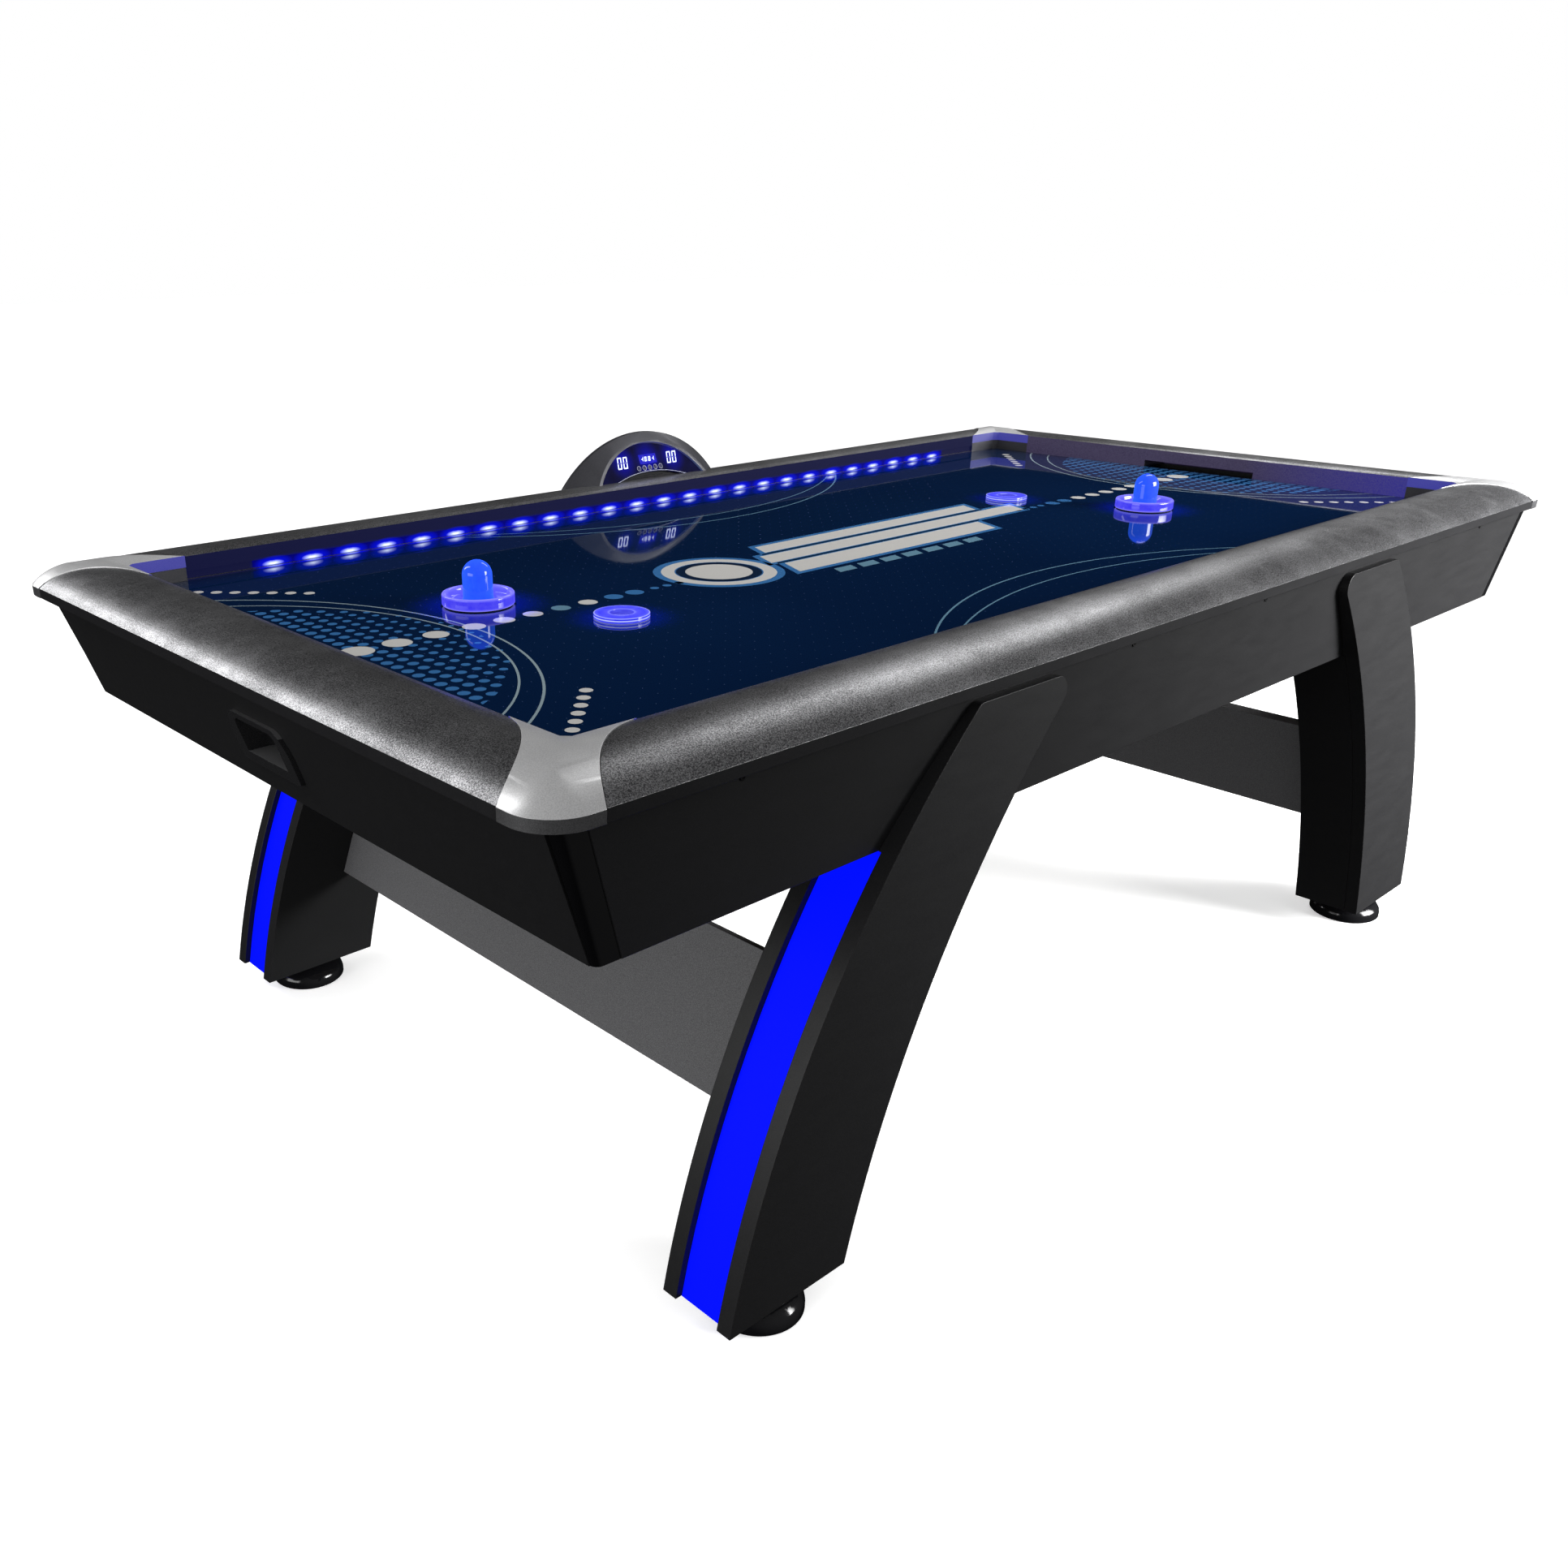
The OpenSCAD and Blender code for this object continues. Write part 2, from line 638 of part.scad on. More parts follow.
module blower_impeller() {
    z = blower_z - blower_h;
    blades = 24;
    color("#1f2022") translate([0, 0, z]) difference() {
        union() {
            translate([0, 0, 52]) cylinder(r = 78, h = 3, $fn = 96);
            translate([0, 0, 37]) cylinder(r = 11, h = 16, $fn = 48);
            translate([0, 0, 6]) difference() {
                cylinder(r = 78, h = 3, $fn = 96);
                translate([0, 0, -1]) cylinder(r = 60, h = 5, $fn = 96);
            }
            for (i = [0:blades - 1]) rotate(i * 360 / blades) translate([60, -1, 7])
                rotate([0, 0, 28]) cube([17, 2, 47]);
        }
        translate([0, 0, 30]) cylinder(r = shaft_r + 0.04, h = 22, $fn = 48);
    }
}

// Mains inlet and rocker switch on a plate under the plenum, near the blower.
panel_c = [180, 0, blower_z];
module power_panel() {
    color("#151618") translate(panel_c) difference() {
        union() {
            translate([-4, -50, -58]) cube([4, 100, 58]);
            translate([-30, -50, -4]) cube([30, 100, 4]);
            translate([-26, -40, -46]) cube([24, 34, 30]);
            translate([-22, 11, -42]) cube([20, 26, 22]);
        }
        translate([-20, -36, -42]) cube([25, 26, 22]);
        translate([-18, 14, -40]) cube([20, 20, 18]);
        translate([-5, 12.5, -31]) along_y(23) circle(1.56, $fn = 24);
    }
    color("#c9b26a") translate(panel_c) for (y = [-29, -23, -17])
        translate([-21, y - 1, -34]) cube([14, 2, 6]);
}
switch_pivot = panel_c + [-5, 24, -31];
module power_switch() {
    color("#1c1d20") translate(switch_pivot) {
        translate([0, -8, 0]) along_y(16)
            polygon([[-3, -7.5], [5.5, -7.5], [4, 0], [8.5, 7.5], [-3, 7.5]]);
        translate([0, -9.6, 0]) along_y(19.2) circle(1.5, $fn = 24);
    }
}

// Scorer: a dome that straddles the back rail and leans its face towards the players.
face_lean = 24;
face_base = [0, 527, bed_z + 39];
face_half = 128;
face_rise = 71;
module face_frame() translate(face_base) rotate([90 - face_lean, 0, 0]) children();
function arc_r(half, rise) = (half * half + rise * rise) / (2 * rise);
module arch(half, rise) {
    r = arc_r(half, rise);
    intersection() {
        translate([0, rise - r]) circle(r, $fn = 120);
        translate([-half, 0]) square([2 * half, rise + 1]);
    }
}
module scorer_shell() {
    hull() {
        face_frame() translate([0, 0, -2]) linear_extrude(2) arch(135, 77);
        translate([0, 575, bed_z + 33]) rotate([90, 0, 0]) linear_extrude(8) arch(187, 88);
        translate([0, 604, bed_z + 12]) rotate([90, 0, 0]) linear_extrude(4) arch(150, 62);
    }
}
module scorer_housing() {
    color("#4a4c52") difference() {
        scorer_shell();
        mirror([0, 1, 0]) translate([-half_l / 2, -half_w, 0]) rail_top_solid();
        face_frame() translate([0, 0, -15]) linear_extrude(30) arch(face_half, face_rise);
        // Room for the electronics behind the face.
        translate([0, 596, bed_z + 45]) rotate([90, 0, 0]) linear_extrude(46) arch(128, 52);
    }
}
// The top of the back rail, as a solid that the scorer is cut to.
module rail_top_solid() {
    along_x(half_l) {
        rail_section(false);
        translate([0, bed_z - 30]) square([rail_w - 1, 41]);
    }
}
lens_set = 4;
button_pitch = 13.5;
button_up = 24;
module scorer_lens() {
    color("#0a0c2a") difference() {
        face_frame() translate([0, 0, -lens_set - 3]) difference() {
            linear_extrude(3) difference() {
                arch(face_half - 0.4, face_rise - 0.4);
                translate([0, 17 - arc_r(92, 17)]) circle(arc_r(92, 17), $fn = 120);
            }
            for (i = [-2:2]) translate([i * button_pitch, button_up, -1])
                cylinder(r = 3.55, h = 5, $fn = 32);
        }
        mirror([0, 1, 0]) translate([-half_l / 2, -half_w, 0.3]) rail_top_solid();
    }
}
module scorer_board() {
    color("#1d5c33") face_frame() translate([0, 0, -15]) linear_extrude(1.6) intersection() {
        arch(face_half - 1, face_rise - 1);
        translate([-95, 12]) square([190, 50]);
    }
    color("#303238") face_frame() translate([0, 0, -13.4]) {
        for (s = [-1, 1], d = [-6.2, 6.2]) translate([s * 61 + d - 5.8, 25, 0]) cube([11.6, 26, 5]);
        translate([-20, 31, 0]) cube([40, 19, 5]);
    }
}
module score_button(i) {
    color("#20256a") face_frame() translate([i * button_pitch, button_up, -lens_set - 7])
        cylinder(r = 3.4, h = 8, $fn = 32);
}
module score_button_1() { score_button(-2); }
module score_button_2() { score_button(-1); }
module score_button_3() { score_button(0); }
module score_button_4() { score_button(1); }
module score_button_5() { score_button(2); }

// Strikers: a dished base with a rounded knob, on a thin felt.
lift = 0.4;
felt_t = 1.2;
striker_at = [[-714, 90], [580, -143]];
puck_at = [[-616, -94], [487, 84]];
module striker(p) {
    r = striker_d / 2;
    knob = 20.5;
    color("#4650e8") translate([p[0], p[1], bed_z + lift + felt_t]) rotate_extrude($fn = 96)
        polygon(concat([[0, 0], [r - 1.5, 0], [r, 1.5], [r, 14], [r - 2.5, 16.5], [r - 5, 16],
                        [r - 8, 6], [knob + 3, 5], [knob, 8]],
                       [for (a = [0:10:90]) [knob * cos(a), striker_h - felt_t - knob + knob * sin(a)]]));
}
module striker_left() { striker(striker_at[0]); }
module striker_right() { striker(striker_at[1]); }
module striker_felt(p) {
    color("#101114") translate([p[0], p[1], bed_z + lift])
        cylinder(r = striker_d / 2 - 3, h = felt_t, $fn = 64);
}
module striker_felt_left() { striker_felt(striker_at[0]); }
module striker_felt_right() { striker_felt(striker_at[1]); }
module puck(p) {
    r = puck_d / 2;
    h = puck_t / 2;
    color("#7a86ff") translate([p[0], p[1], bed_z + lift + h]) rotate_extrude($fn = 96)
        polygon([[0, -h + 0.8], [15, -h + 0.8], [17, -h], [r - 0.6, -h], [r, -h + 0.6],
                 [r, -0.8], [r - 0.6, -0.4], [r - 0.6, 0.4], [r, 0.8], [r, h - 0.6],
                 [r - 0.6, h], [17, h], [15, h - 0.8], [0, h - 0.8]]);
}
module puck_left() { puck(puck_at[0]); }
module puck_right() { puck(puck_at[1]); }

rail_front();
rail_back();
rail_left();
rail_right();
corner_cap_front_left();
corner_cap_front_right();
corner_cap_back_left();
corner_cap_back_right();
corner_blocks();
led_strip_front();
led_strip_back();
bed();
plenum_frame();
plenum_floor();
cross_beams();
apron_front();
apron_back();
apron_left();
apron_right();
corner_posts();
puck_return_left();
puck_return_right();
apron_screws();
leg_panel_front_left();
leg_panel_front_right();
leg_panel_back_left();
leg_panel_back_right();
leg_frame_front_left();
leg_frame_front_right();
leg_frame_back_left();
leg_frame_back_right();
leg_lights();
stretcher_left();
stretcher_right();
leg_bolts();
leveler_inserts();
leveler_front_left();
leveler_front_right();
leveler_back_left();
leveler_back_right();
blower_housing();
blower_motor();
blower_impeller();
blower_guard();
power_panel();
power_switch();
scorer_housing();
scorer_lens();
scorer_board();
score_button_1();
score_button_2();
score_button_3();
score_button_4();
score_button_5();
striker_left();
striker_right();
striker_felt_left();
striker_felt_right();
puck_left();
puck_right();
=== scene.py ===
import bpy, bmesh, json, math
from mathutils import Vector, Matrix


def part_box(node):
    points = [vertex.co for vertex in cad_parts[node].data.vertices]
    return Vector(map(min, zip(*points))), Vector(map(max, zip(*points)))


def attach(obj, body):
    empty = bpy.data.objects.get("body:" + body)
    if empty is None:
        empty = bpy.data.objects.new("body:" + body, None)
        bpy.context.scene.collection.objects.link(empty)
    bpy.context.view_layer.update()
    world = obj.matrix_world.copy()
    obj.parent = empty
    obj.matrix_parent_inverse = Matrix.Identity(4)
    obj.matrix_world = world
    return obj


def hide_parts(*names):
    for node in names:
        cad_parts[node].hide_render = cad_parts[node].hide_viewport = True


# Looks, light and camera of an air hockey table, built round its CAD frame. Lengths are in metres, and
# those that are easier to read in millimetres are marked so and multiplied by MM.
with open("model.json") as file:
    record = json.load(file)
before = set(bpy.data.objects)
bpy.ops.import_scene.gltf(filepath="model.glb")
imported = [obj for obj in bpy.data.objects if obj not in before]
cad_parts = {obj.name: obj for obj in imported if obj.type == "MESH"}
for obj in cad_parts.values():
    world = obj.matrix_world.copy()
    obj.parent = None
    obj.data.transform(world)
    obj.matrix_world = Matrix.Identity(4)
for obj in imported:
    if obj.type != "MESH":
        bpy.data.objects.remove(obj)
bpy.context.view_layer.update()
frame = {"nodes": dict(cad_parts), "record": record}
nodes = frame["nodes"]
MM = 0.001


# ---------------------------------------------------------------- node materials
class Mat:
    """A Principled material whose colour, roughness and bump come from object-space patterns."""

    def __init__(self, name, color=(0.5, 0.5, 0.5), **constants):
        self.m = bpy.data.materials.new(name)
        self.m.use_nodes = True
        self.t = self.m.node_tree
        self.b = self.t.nodes["Principled BSDF"]
        self.b.inputs["Base Color"].default_value = (*color, 1)
        for key, value in constants.items():
            socket = self.b.inputs[key.replace("_", " ")]
            socket.default_value = (*value, 1) if isinstance(value, tuple) else value
        self.coord = self.t.nodes.new("ShaderNodeTexCoord").outputs["Object"]

    def node(self, kind, *inputs, **props):
        n = self.t.nodes.new("ShaderNode" + kind)
        for key, value in props.items():
            setattr(n, key, value)
        for i, value in enumerate(inputs):
            self.put(n.inputs[i], value)
        return n

    def put(self, socket, value):
        if value is None:
            return
        if isinstance(value, bpy.types.NodeSocket):
            self.t.links.new(value, socket)
        elif isinstance(value, tuple) and len(value) == 3 and socket.type == "RGBA":
            socket.default_value = (*value, 1)
        else:
            socket.default_value = value

    def math(self, op, a, b=None, c=None, clamp=False):
        return self.node("Math", a, b, c, operation=op, use_clamp=clamp).outputs[0]

    def noise(self, scale, detail=2.0, rough=0.5, stretch=None, offset=0.0):
        n = self.node("TexNoise")
        n.inputs["Scale"].default_value = scale
        n.inputs["Detail"].default_value = detail
        n.inputs["Roughness"].default_value = rough
        source = self.coord
        if stretch or offset:
            mapping = self.node("Mapping", source)
            mapping.inputs["Scale"].default_value = stretch or (1, 1, 1)
            mapping.inputs["Location"].default_value = (offset, offset, offset)
            source = mapping.outputs[0]
        self.t.links.new(source, n.inputs["Vector"])
        return n.outputs["Fac"]

    def ramp(self, value, low, high, out_low=0.0, out_high=1.0):
        n = self.node("MapRange")
        for key, v in (("Value", value), ("From Min", low), ("From Max", high),
                       ("To Min", out_low), ("To Max", out_high)):
            self.put(n.inputs[key], v)
        return n.outputs["Result"]

    def mix(self, factor, a, b):
        n = self.node("Mix", data_type="RGBA", clamp_factor=True)
        self.put(n.inputs["Factor"], factor)
        self.put(n.inputs["A"], a)
        self.put(n.inputs["B"], b)
        return n.outputs["Result"]

    def length(self, a, b):
        squares = [self.math("MULTIPLY", v, v) for v in (a, b)]
        return self.math("SQRT", self.math("ADD", *squares))

    def axes(self):
        s = self.node("SeparateXYZ", self.coord)
        return s.outputs[0], s.outputs[1], s.outputs[2]

    def set(self, name, socket):
        self.t.links.new(socket, self.b.inputs[name])
        return self

    def bump(self, height, distance, strength=1.0):
        n = self.node("Bump")
        n.inputs["Strength"].default_value = strength
        n.inputs["Distance"].default_value = distance
        self.t.links.new(height, n.inputs["Height"])
        return self.set("Normal", n.outputs["Normal"])


def speckled_metal(name, dark, light, rough, grain=700.0, metallic=0.85, bump=0.00010):
    """Painted or cast metal with a fine flake, faint handling marks and uneven gloss."""
    k = Mat(name, light, Metallic=metallic)
    flake = k.noise(grain, 1.0)
    cloud = k.noise(7.0, 3.0)
    mix = k.ramp(k.math("ADD", flake, k.math("MULTIPLY", cloud, 0.35)), 0.5, 0.85)
    k.set("Base Color", k.mix(mix, dark, light))
    wear = k.noise(38.0, 5.0, 0.62, (1, 1, 1), 3.1)
    k.set("Roughness", k.ramp(wear, 0.3, 0.75, rough - 0.04, rough + 0.07))
    return k.bump(flake, bump, 0.6).m


def laminate(name, dark, light, rough=0.5, spec=0.3, grain=900.0, ior=1.5):
    """Black pressed laminate: a fine embossed grain and a faintly cloudy gloss."""
    k = Mat(name, light, Specular_IOR_Level=spec, IOR=ior)
    grain_n = k.noise(grain, 2.0, 0.6)
    long_n = k.noise(60.0, 4.0, 0.6, (0.25, 1, 1))
    k.set("Base Color", k.mix(k.ramp(grain_n, 0.35, 0.7), dark, light))
    k.set("Roughness", k.ramp(long_n, 0.3, 0.7, rough - 0.02, rough + 0.03))
    return k.bump(grain_n, 0.00008, 0.5).m


def plastic(name, color, rough=0.3, grain=2200.0, bump=0.00003, **more):
    """Moulded or lacquered surface: a very fine grain and slightly uneven gloss."""
    k = Mat(name, color, **more)
    g = k.noise(grain, 2.0)
    soft = k.noise(30.0, 4.0, 0.6, None, 1.7)
    shade = tuple(c * 0.8 for c in color)
    k.set("Base Color", k.mix(k.ramp(g, 0.3, 0.7), shade, color))
    k.set("Roughness", k.ramp(soft, 0.3, 0.7, max(rough - 0.04, 0.02), rough + 0.05))
    return k.bump(g, bump, 0.4).m


M = {}
M["rail"] = speckled_metal("rail_paint", (0.06, 0.06, 0.063), (0.32, 0.32, 0.33), 0.36)
M["skirt"] = laminate("rail_skirt", (0.005, 0.005, 0.006), (0.010, 0.010, 0.011), 0.42, 0.5, 900, 1.35)
M["cap"] = speckled_metal("cap_casting", (0.52, 0.52, 0.525), (0.66, 0.66, 0.665), 0.37, 900, 0.55, 0.00004)
M["cap_skirt"] = speckled_metal("cap_skirt", (0.05, 0.05, 0.052), (0.08, 0.08, 0.083), 0.40, 900, 0.4)
M["block"] = laminate("corner_block", (0.02, 0.02, 0.024), (0.035, 0.035, 0.04))
M["black"] = laminate("black_laminate", (0.006, 0.006, 0.0065), (0.012, 0.012, 0.013), 0.44, 0.5, 900, 1.4)
# The stretchers are lighter than the other black boards: their grain is real, their lighter grey is painted
# light from the left.
M["stretcher"] = laminate("stretcher_board", (0.07, 0.07, 0.073), (0.14, 0.14, 0.145), 0.46, 0.2)
M["post"] = plastic("post_gloss", (0.003, 0.003, 0.0035), 0.16)
M["moulded"] = plastic("moulded_black", (0.016, 0.016, 0.017), 0.22, 900)
# The upward faces of the puck returns are lighter grey: painted light for the light from above that falls on
# them.
M["ledge"] = plastic("cup_ledge_painted_light", (0.10, 0.10, 0.103), 0.35, 900)
M["wood"] = laminate("plenum_wood", (0.36, 0.26, 0.16), (0.52, 0.40, 0.27), 0.6, 0.3, 300)
M["screw"] = speckled_metal("screw_black", (0.01, 0.01, 0.01), (0.03, 0.03, 0.03), 0.4, 3000, 0.9)
M["steel"] = speckled_metal("steel", (0.40, 0.40, 0.41), (0.55, 0.55, 0.56), 0.32, 700, 1.0)
M["foot"] = plastic("foot_black", (0.006, 0.006, 0.007), 0.12, 500)
M["blower"] = plastic("blower_black", (0.03, 0.03, 0.033), 0.4)
M["guard"] = speckled_metal("guard_wire", (0.03, 0.03, 0.03), (0.06, 0.06, 0.06), 0.4)
M["scorer"] = speckled_metal("scorer_shell", (0.030, 0.030, 0.035), (0.060, 0.060, 0.068), 0.40, 1600, 0.5,
                             0.00004)
M["circuit"] = plastic("black_circuit_board", (0.0025, 0.003, 0.0035), 0.55, Specular_IOR_Level=0.1)
M["felt"] = laminate("felt", (0.01, 0.01, 0.012), (0.03, 0.03, 0.035), 0.95, 0.1, 1500)


HOLE_PITCH = 0.0254
# Inner and outer radius of an air hole's soft edge, as parts of the pitch.
HOLE_EDGE = (0.020, 0.034)


def bed_material():
    """Glossy navy sheet with a grid of fine air holes."""
    k = Mat("play_surface", (0.004, 0.018, 0.05), Specular_IOR_Level=0.5, IOR=2.0)
    x, y, _ = k.axes()

    def from_hole(v):
        return k.math("SUBTRACT", k.math("FRACT", k.math("DIVIDE", v, HOLE_PITCH)), 0.5)

    dx, dy = from_hole(x), from_hole(y)
    hole = k.ramp(k.length(dx, dy), *HOLE_EDGE, 1.0, 0.0)
    cloud = k.noise(1.6, 3.0)
    fine = k.noise(420.0, 3.0, 0.6)
    base = k.mix(k.ramp(cloud, 0.3, 0.7), (0.0004, 0.0080, 0.034), (0.0010, 0.0108, 0.044))
    k.set("Base Color", k.mix(k.math("MULTIPLY", hole, 0.8), base, (0.05, 0.09, 0.16)))
    k.set("Roughness", k.ramp(fine, 0.3, 0.7, 0.03, 0.05))
    return k.bump(k.math("ADD", k.math("MULTIPLY", hole, -1.0), k.math("MULTIPLY", fine, 0.02)),
                  0.0002, 0.3).m


M["bed"] = bed_material()


def print_ink(name, color):
    """Printed colour under the bed's clear coat."""
    k = Mat(name, color, IOR=1.7)
    n = k.noise(900.0, 2.0)
    k.set("Base Color", k.mix(k.ramp(n, 0.2, 0.8), tuple(c * 0.88 for c in color), color))
    k.set("Roughness", k.ramp(n, 0.3, 0.7, 0.08, 0.13))
    return k.m


M["ink_white"] = print_ink("ink_white", (0.52, 0.51, 0.49))
M["ink_pale"] = print_ink("ink_pale", (0.23, 0.30, 0.33))
M["ink_grey"] = print_ink("ink_grey", (0.11, 0.22, 0.30))
M["ink_blue"] = print_ink("ink_blue", (0.035, 0.14, 0.34))
M["ink_navy"] = print_ink("ink_navy", (0.004, 0.014, 0.04))


def glow(name, color, strength, base=(0.02, 0.02, 0.1), rough=0.3, **more):
    """An evenly lit surface whose brightness varies a little."""
    k = Mat(name, base, Emission_Strength=strength, **more)
    n = k.noise(260.0, 2.0)
    k.set("Emission Color", k.mix(k.ramp(n, 0.2, 0.8), tuple(c * 0.94 for c in color), color))
    k.set("Roughness", k.ramp(n, 0.3, 0.7, rough - 0.03, rough + 0.04))
    return k.m


# The row of lamps in each long rail: its pitch, height, and where the last lamp fades out.
LAMP_PITCH = 0.067
LAMP_Z = 0.7335
LAMPS_END = (0.828, 0.842)
# Half length, half height and sharpness of a lamp's core and of the halo round it.
LAMP_CORE = (0.019, 0.0052, 1.1)
LAMP_HALO = (0.034, 0.0125, 0.8)
LAMP_BAND = (0.006, 0.013)


def lamp_field(k, x, z):
    """How far a point lies in a lamp's core, in its halo and in the dim band along the row."""
    turn = k.math("FRACT", k.math("ADD", k.math("DIVIDE", x, LAMP_PITCH), 0.5))
    dx = k.math("MULTIPLY", k.math("SUBTRACT", turn, 0.5), LAMP_PITCH)
    dz = k.math("SUBTRACT", z, LAMP_Z)

    def oval(half_length, half_height, sharp):
        r = k.length(k.math("DIVIDE", dx, half_length), k.math("DIVIDE", dz, half_height))
        return k.math("POWER", k.ramp(r, 0.0, 1.0, 1.0, 0.0), sharp)

    inside = k.ramp(k.math("ABSOLUTE", x), *LAMPS_END, 1.0, 0.0)
    core = k.math("MULTIPLY", oval(*LAMP_CORE), inside)
    halo = k.math("MULTIPLY", oval(*LAMP_HALO), inside)
    band = k.math("MULTIPLY", k.ramp(k.math("ABSOLUTE", dz), *LAMP_BAND, 1.0, 0.0), inside)
    return core, halo, band


def lit_face(name, grain_dark, grain_light):
    """Inner face of a side rail, with the light of its row of lamps painted on as glow: a pale core and a
    blue halo round each lamp, and a dim blue band along the row.
    """
    k = Mat(name, grain_light, Roughness=0.6, Specular_IOR_Level=0.0)
    x, _, z = k.axes()
    core, halo, band = lamp_field(k, x, z)
    flake = k.noise(1400.0, 1.0)
    k.set("Base Color", k.mix(flake, grain_dark, grain_light))
    wash = k.mix(k.math("MULTIPLY", band, 0.9, clamp=True), (0.005, 0.006, 0.034), (0.0, 0.0, 0.17))
    wash = k.mix(halo, wash, (0.0, 0.006, 1.0))
    wash = k.mix(core, wash, (0.62, 0.74, 1.0))
    k.set("Emission Color", wash)
    k.b.inputs["Emission Strength"].default_value = 1.15
    return k.bump(flake, 0.00006, 0.5).m


def end_face(name):
    """Inner face of an end rail: grained paint, with the blue light of the lamps painted on as glow that
    grows towards the front.
    """
    k = Mat(name, (0.10, 0.09, 0.13), Roughness=0.6, Specular_IOR_Level=0.03)
    _, y, _ = k.axes()
    flake = k.noise(1400.0, 1.0)
    grain = k.ramp(flake, 0.35, 0.65)
    k.set("Base Color", k.mix(grain, (0.018, 0.016, 0.024), (0.050, 0.046, 0.062)))
    near_front = k.ramp(y, -0.10, -0.48)
    tone = k.mix(near_front, (0.026, 0.018, 0.050), (0.012, 0.012, 0.36))
    k.set("Emission Color", k.mix(k.math("MULTIPLY", grain, 0.5), tone, (0.060, 0.050, 0.120)))
    k.b.inputs["Emission Strength"].default_value = 0.8
    return k.bump(flake, 0.00006, 0.5).m


M["lit_face"] = lit_face("rail_face_painted_glow", (0.0015, 0.0015, 0.003), (0.006, 0.006, 0.010))
M["end_face"] = end_face("rail_face_end")


def cap_face():
    """The lips of the caps that look at the bed, with the blue light of the lamps painted on as glow."""
    k = Mat("cap_face_painted_glow", (0.20, 0.20, 0.26), Roughness=0.5, Specular_IOR_Level=0.1)
    n = k.noise(900.0, 2.0)
    k.set("Base Color", k.mix(n, (0.03, 0.03, 0.05), (0.06, 0.06, 0.09)))
    k.set("Emission Color", k.mix(n, (0.02, 0.02, 0.30), (0.04, 0.04, 0.38)))
    k.b.inputs["Emission Strength"].default_value = 0.8
    return k.m


M["cap_face"] = cap_face()


def strip_material():
    """The strip that carries the lamps."""
    k = Mat("lamp_strip", (0.002, 0.002, 0.03), Roughness=0.5, Specular_IOR_Level=0.0)
    x, _, z = k.axes()
    core, halo, _ = lamp_field(k, x, z)
    fine = k.noise(800.0, 2.0)
    wash = k.mix(halo, (0.0, 0.0, 0.15), (0.0, 0.006, 1.0))
    k.set("Emission Color", k.mix(core, wash, (0.72, 0.82, 1.0)))
    k.set("Emission Strength", k.ramp(core, 0.0, 1.0, 1.0, 2.2))
    k.set("Roughness", k.ramp(fine, 0.3, 0.7, 0.3, 0.4))
    return k.m


M["strip"] = strip_material()


def glowing_resin(name, stops, edge, rough=0.08, strength=1.0, sheen_paling=0.75, band=None):
    """Lit resin: colour by distance from the axis, in mm, and paler towards its silhouette as a painted
    sheen.

    band, when given, is the middle height of the rim and its half height, in mm: the rim's edges are paler.
    """
    k = Mat(name, (0.01, 0.01, 0.04), Specular_IOR_Level=0.35, Emission_Strength=strength)
    x, y, z = k.axes()
    r = k.length(x, y)
    color = stops[0][1]
    for (inner, _), (outer, next_color) in zip(stops, stops[1:]):
        color = k.mix(k.ramp(r, inner * MM, outer * MM), color, next_color)
    if band:
        off = k.math("ABSOLUTE", k.math("SUBTRACT", z, band[0] * MM))
        color = k.mix(k.ramp(off, band[1] * 0.55 * MM, band[1] * MM, 0.0, 0.8), color, edge)
    cloud = k.noise(90.0, 3.0, 0.6)
    color = k.mix(k.ramp(cloud, 0.35, 0.75, 0.0, 0.25), color, edge)
    # Painted sheen: the colour turns paler where the surface turns away from the view.
    weight = k.node("LayerWeight")
    weight.inputs["Blend"].default_value = 0.35
    color = k.mix(k.math("MULTIPLY", weight.outputs["Facing"], sheen_paling), color, edge)
    k.set("Emission Color", color)
    k.set("Roughness", k.ramp(k.noise(300.0, 2.0), 0.3, 0.7, rough - 0.02, rough + 0.03))
    return k.m


M["ring"] = glowing_resin("striker_ring", [(22, (0.008, 0.015, 0.80)), (32, (0.02, 0.03, 0.88)),
                                           (43, (0.10, 0.09, 0.86)), (46.5, (0.24, 0.24, 0.95)),
                                           (48.4, (0.40, 0.40, 1.0)), (49.4, (0.040, 0.032, 0.90))],
                          (0.22, 0.20, 1.0), 0.08, 0.95, 0.25, (8.2, 7.6))
M["knob"] = glowing_resin("striker_knob", [(0, (0.004, 0.060, 0.98)), (20.5, (0.010, 0.075, 0.95))],
                          (0.03, 0.16, 1.0), 0.06)
M["puck"] = glowing_resin("puck_resin", [(12, (0.035, 0.028, 0.40)), (15.5, (0.03, 0.02, 0.46)),
                                         (17, (0.22, 0.24, 1.0)), (20, (0.07, 0.06, 0.92)),
                                         (30, (0.030, 0.030, 0.78)), (35.0, (0.09, 0.09, 0.90)),
                                         (36.8, (0.55, 0.60, 1.0)), (37.2, (0.012, 0.020, 0.85))],
                          (0.20, 0.24, 1.0), 0.07, 0.95, 0.12)

M["leg_light"] = glow("leg_light", (0.0, 0.004, 1.0), 1.1, (0.0, 0.0, 0.02), 0.6, Specular_IOR_Level=0.05)
M["digit"] = glow("digit_lit", (0.66, 0.74, 1.0), 1.8)
M["digit_blue"] = glow("digit_blue", (0.01, 0.01, 0.8), 0.35)
# Pale lines: printed rings round the buttons, and a painted highlight along the window's lower edge.
M["line"] = plastic("button_print_and_lens_highlight", (0.16, 0.17, 0.24), 0.35)
M["button"] = plastic("button_cap", (0.012, 0.012, 0.05), 0.25)


# Middle of each player's score, in mm from the centre, and the height of the middle of the digits.
SCORE_X = 61
DIGITS_Z = 0.803


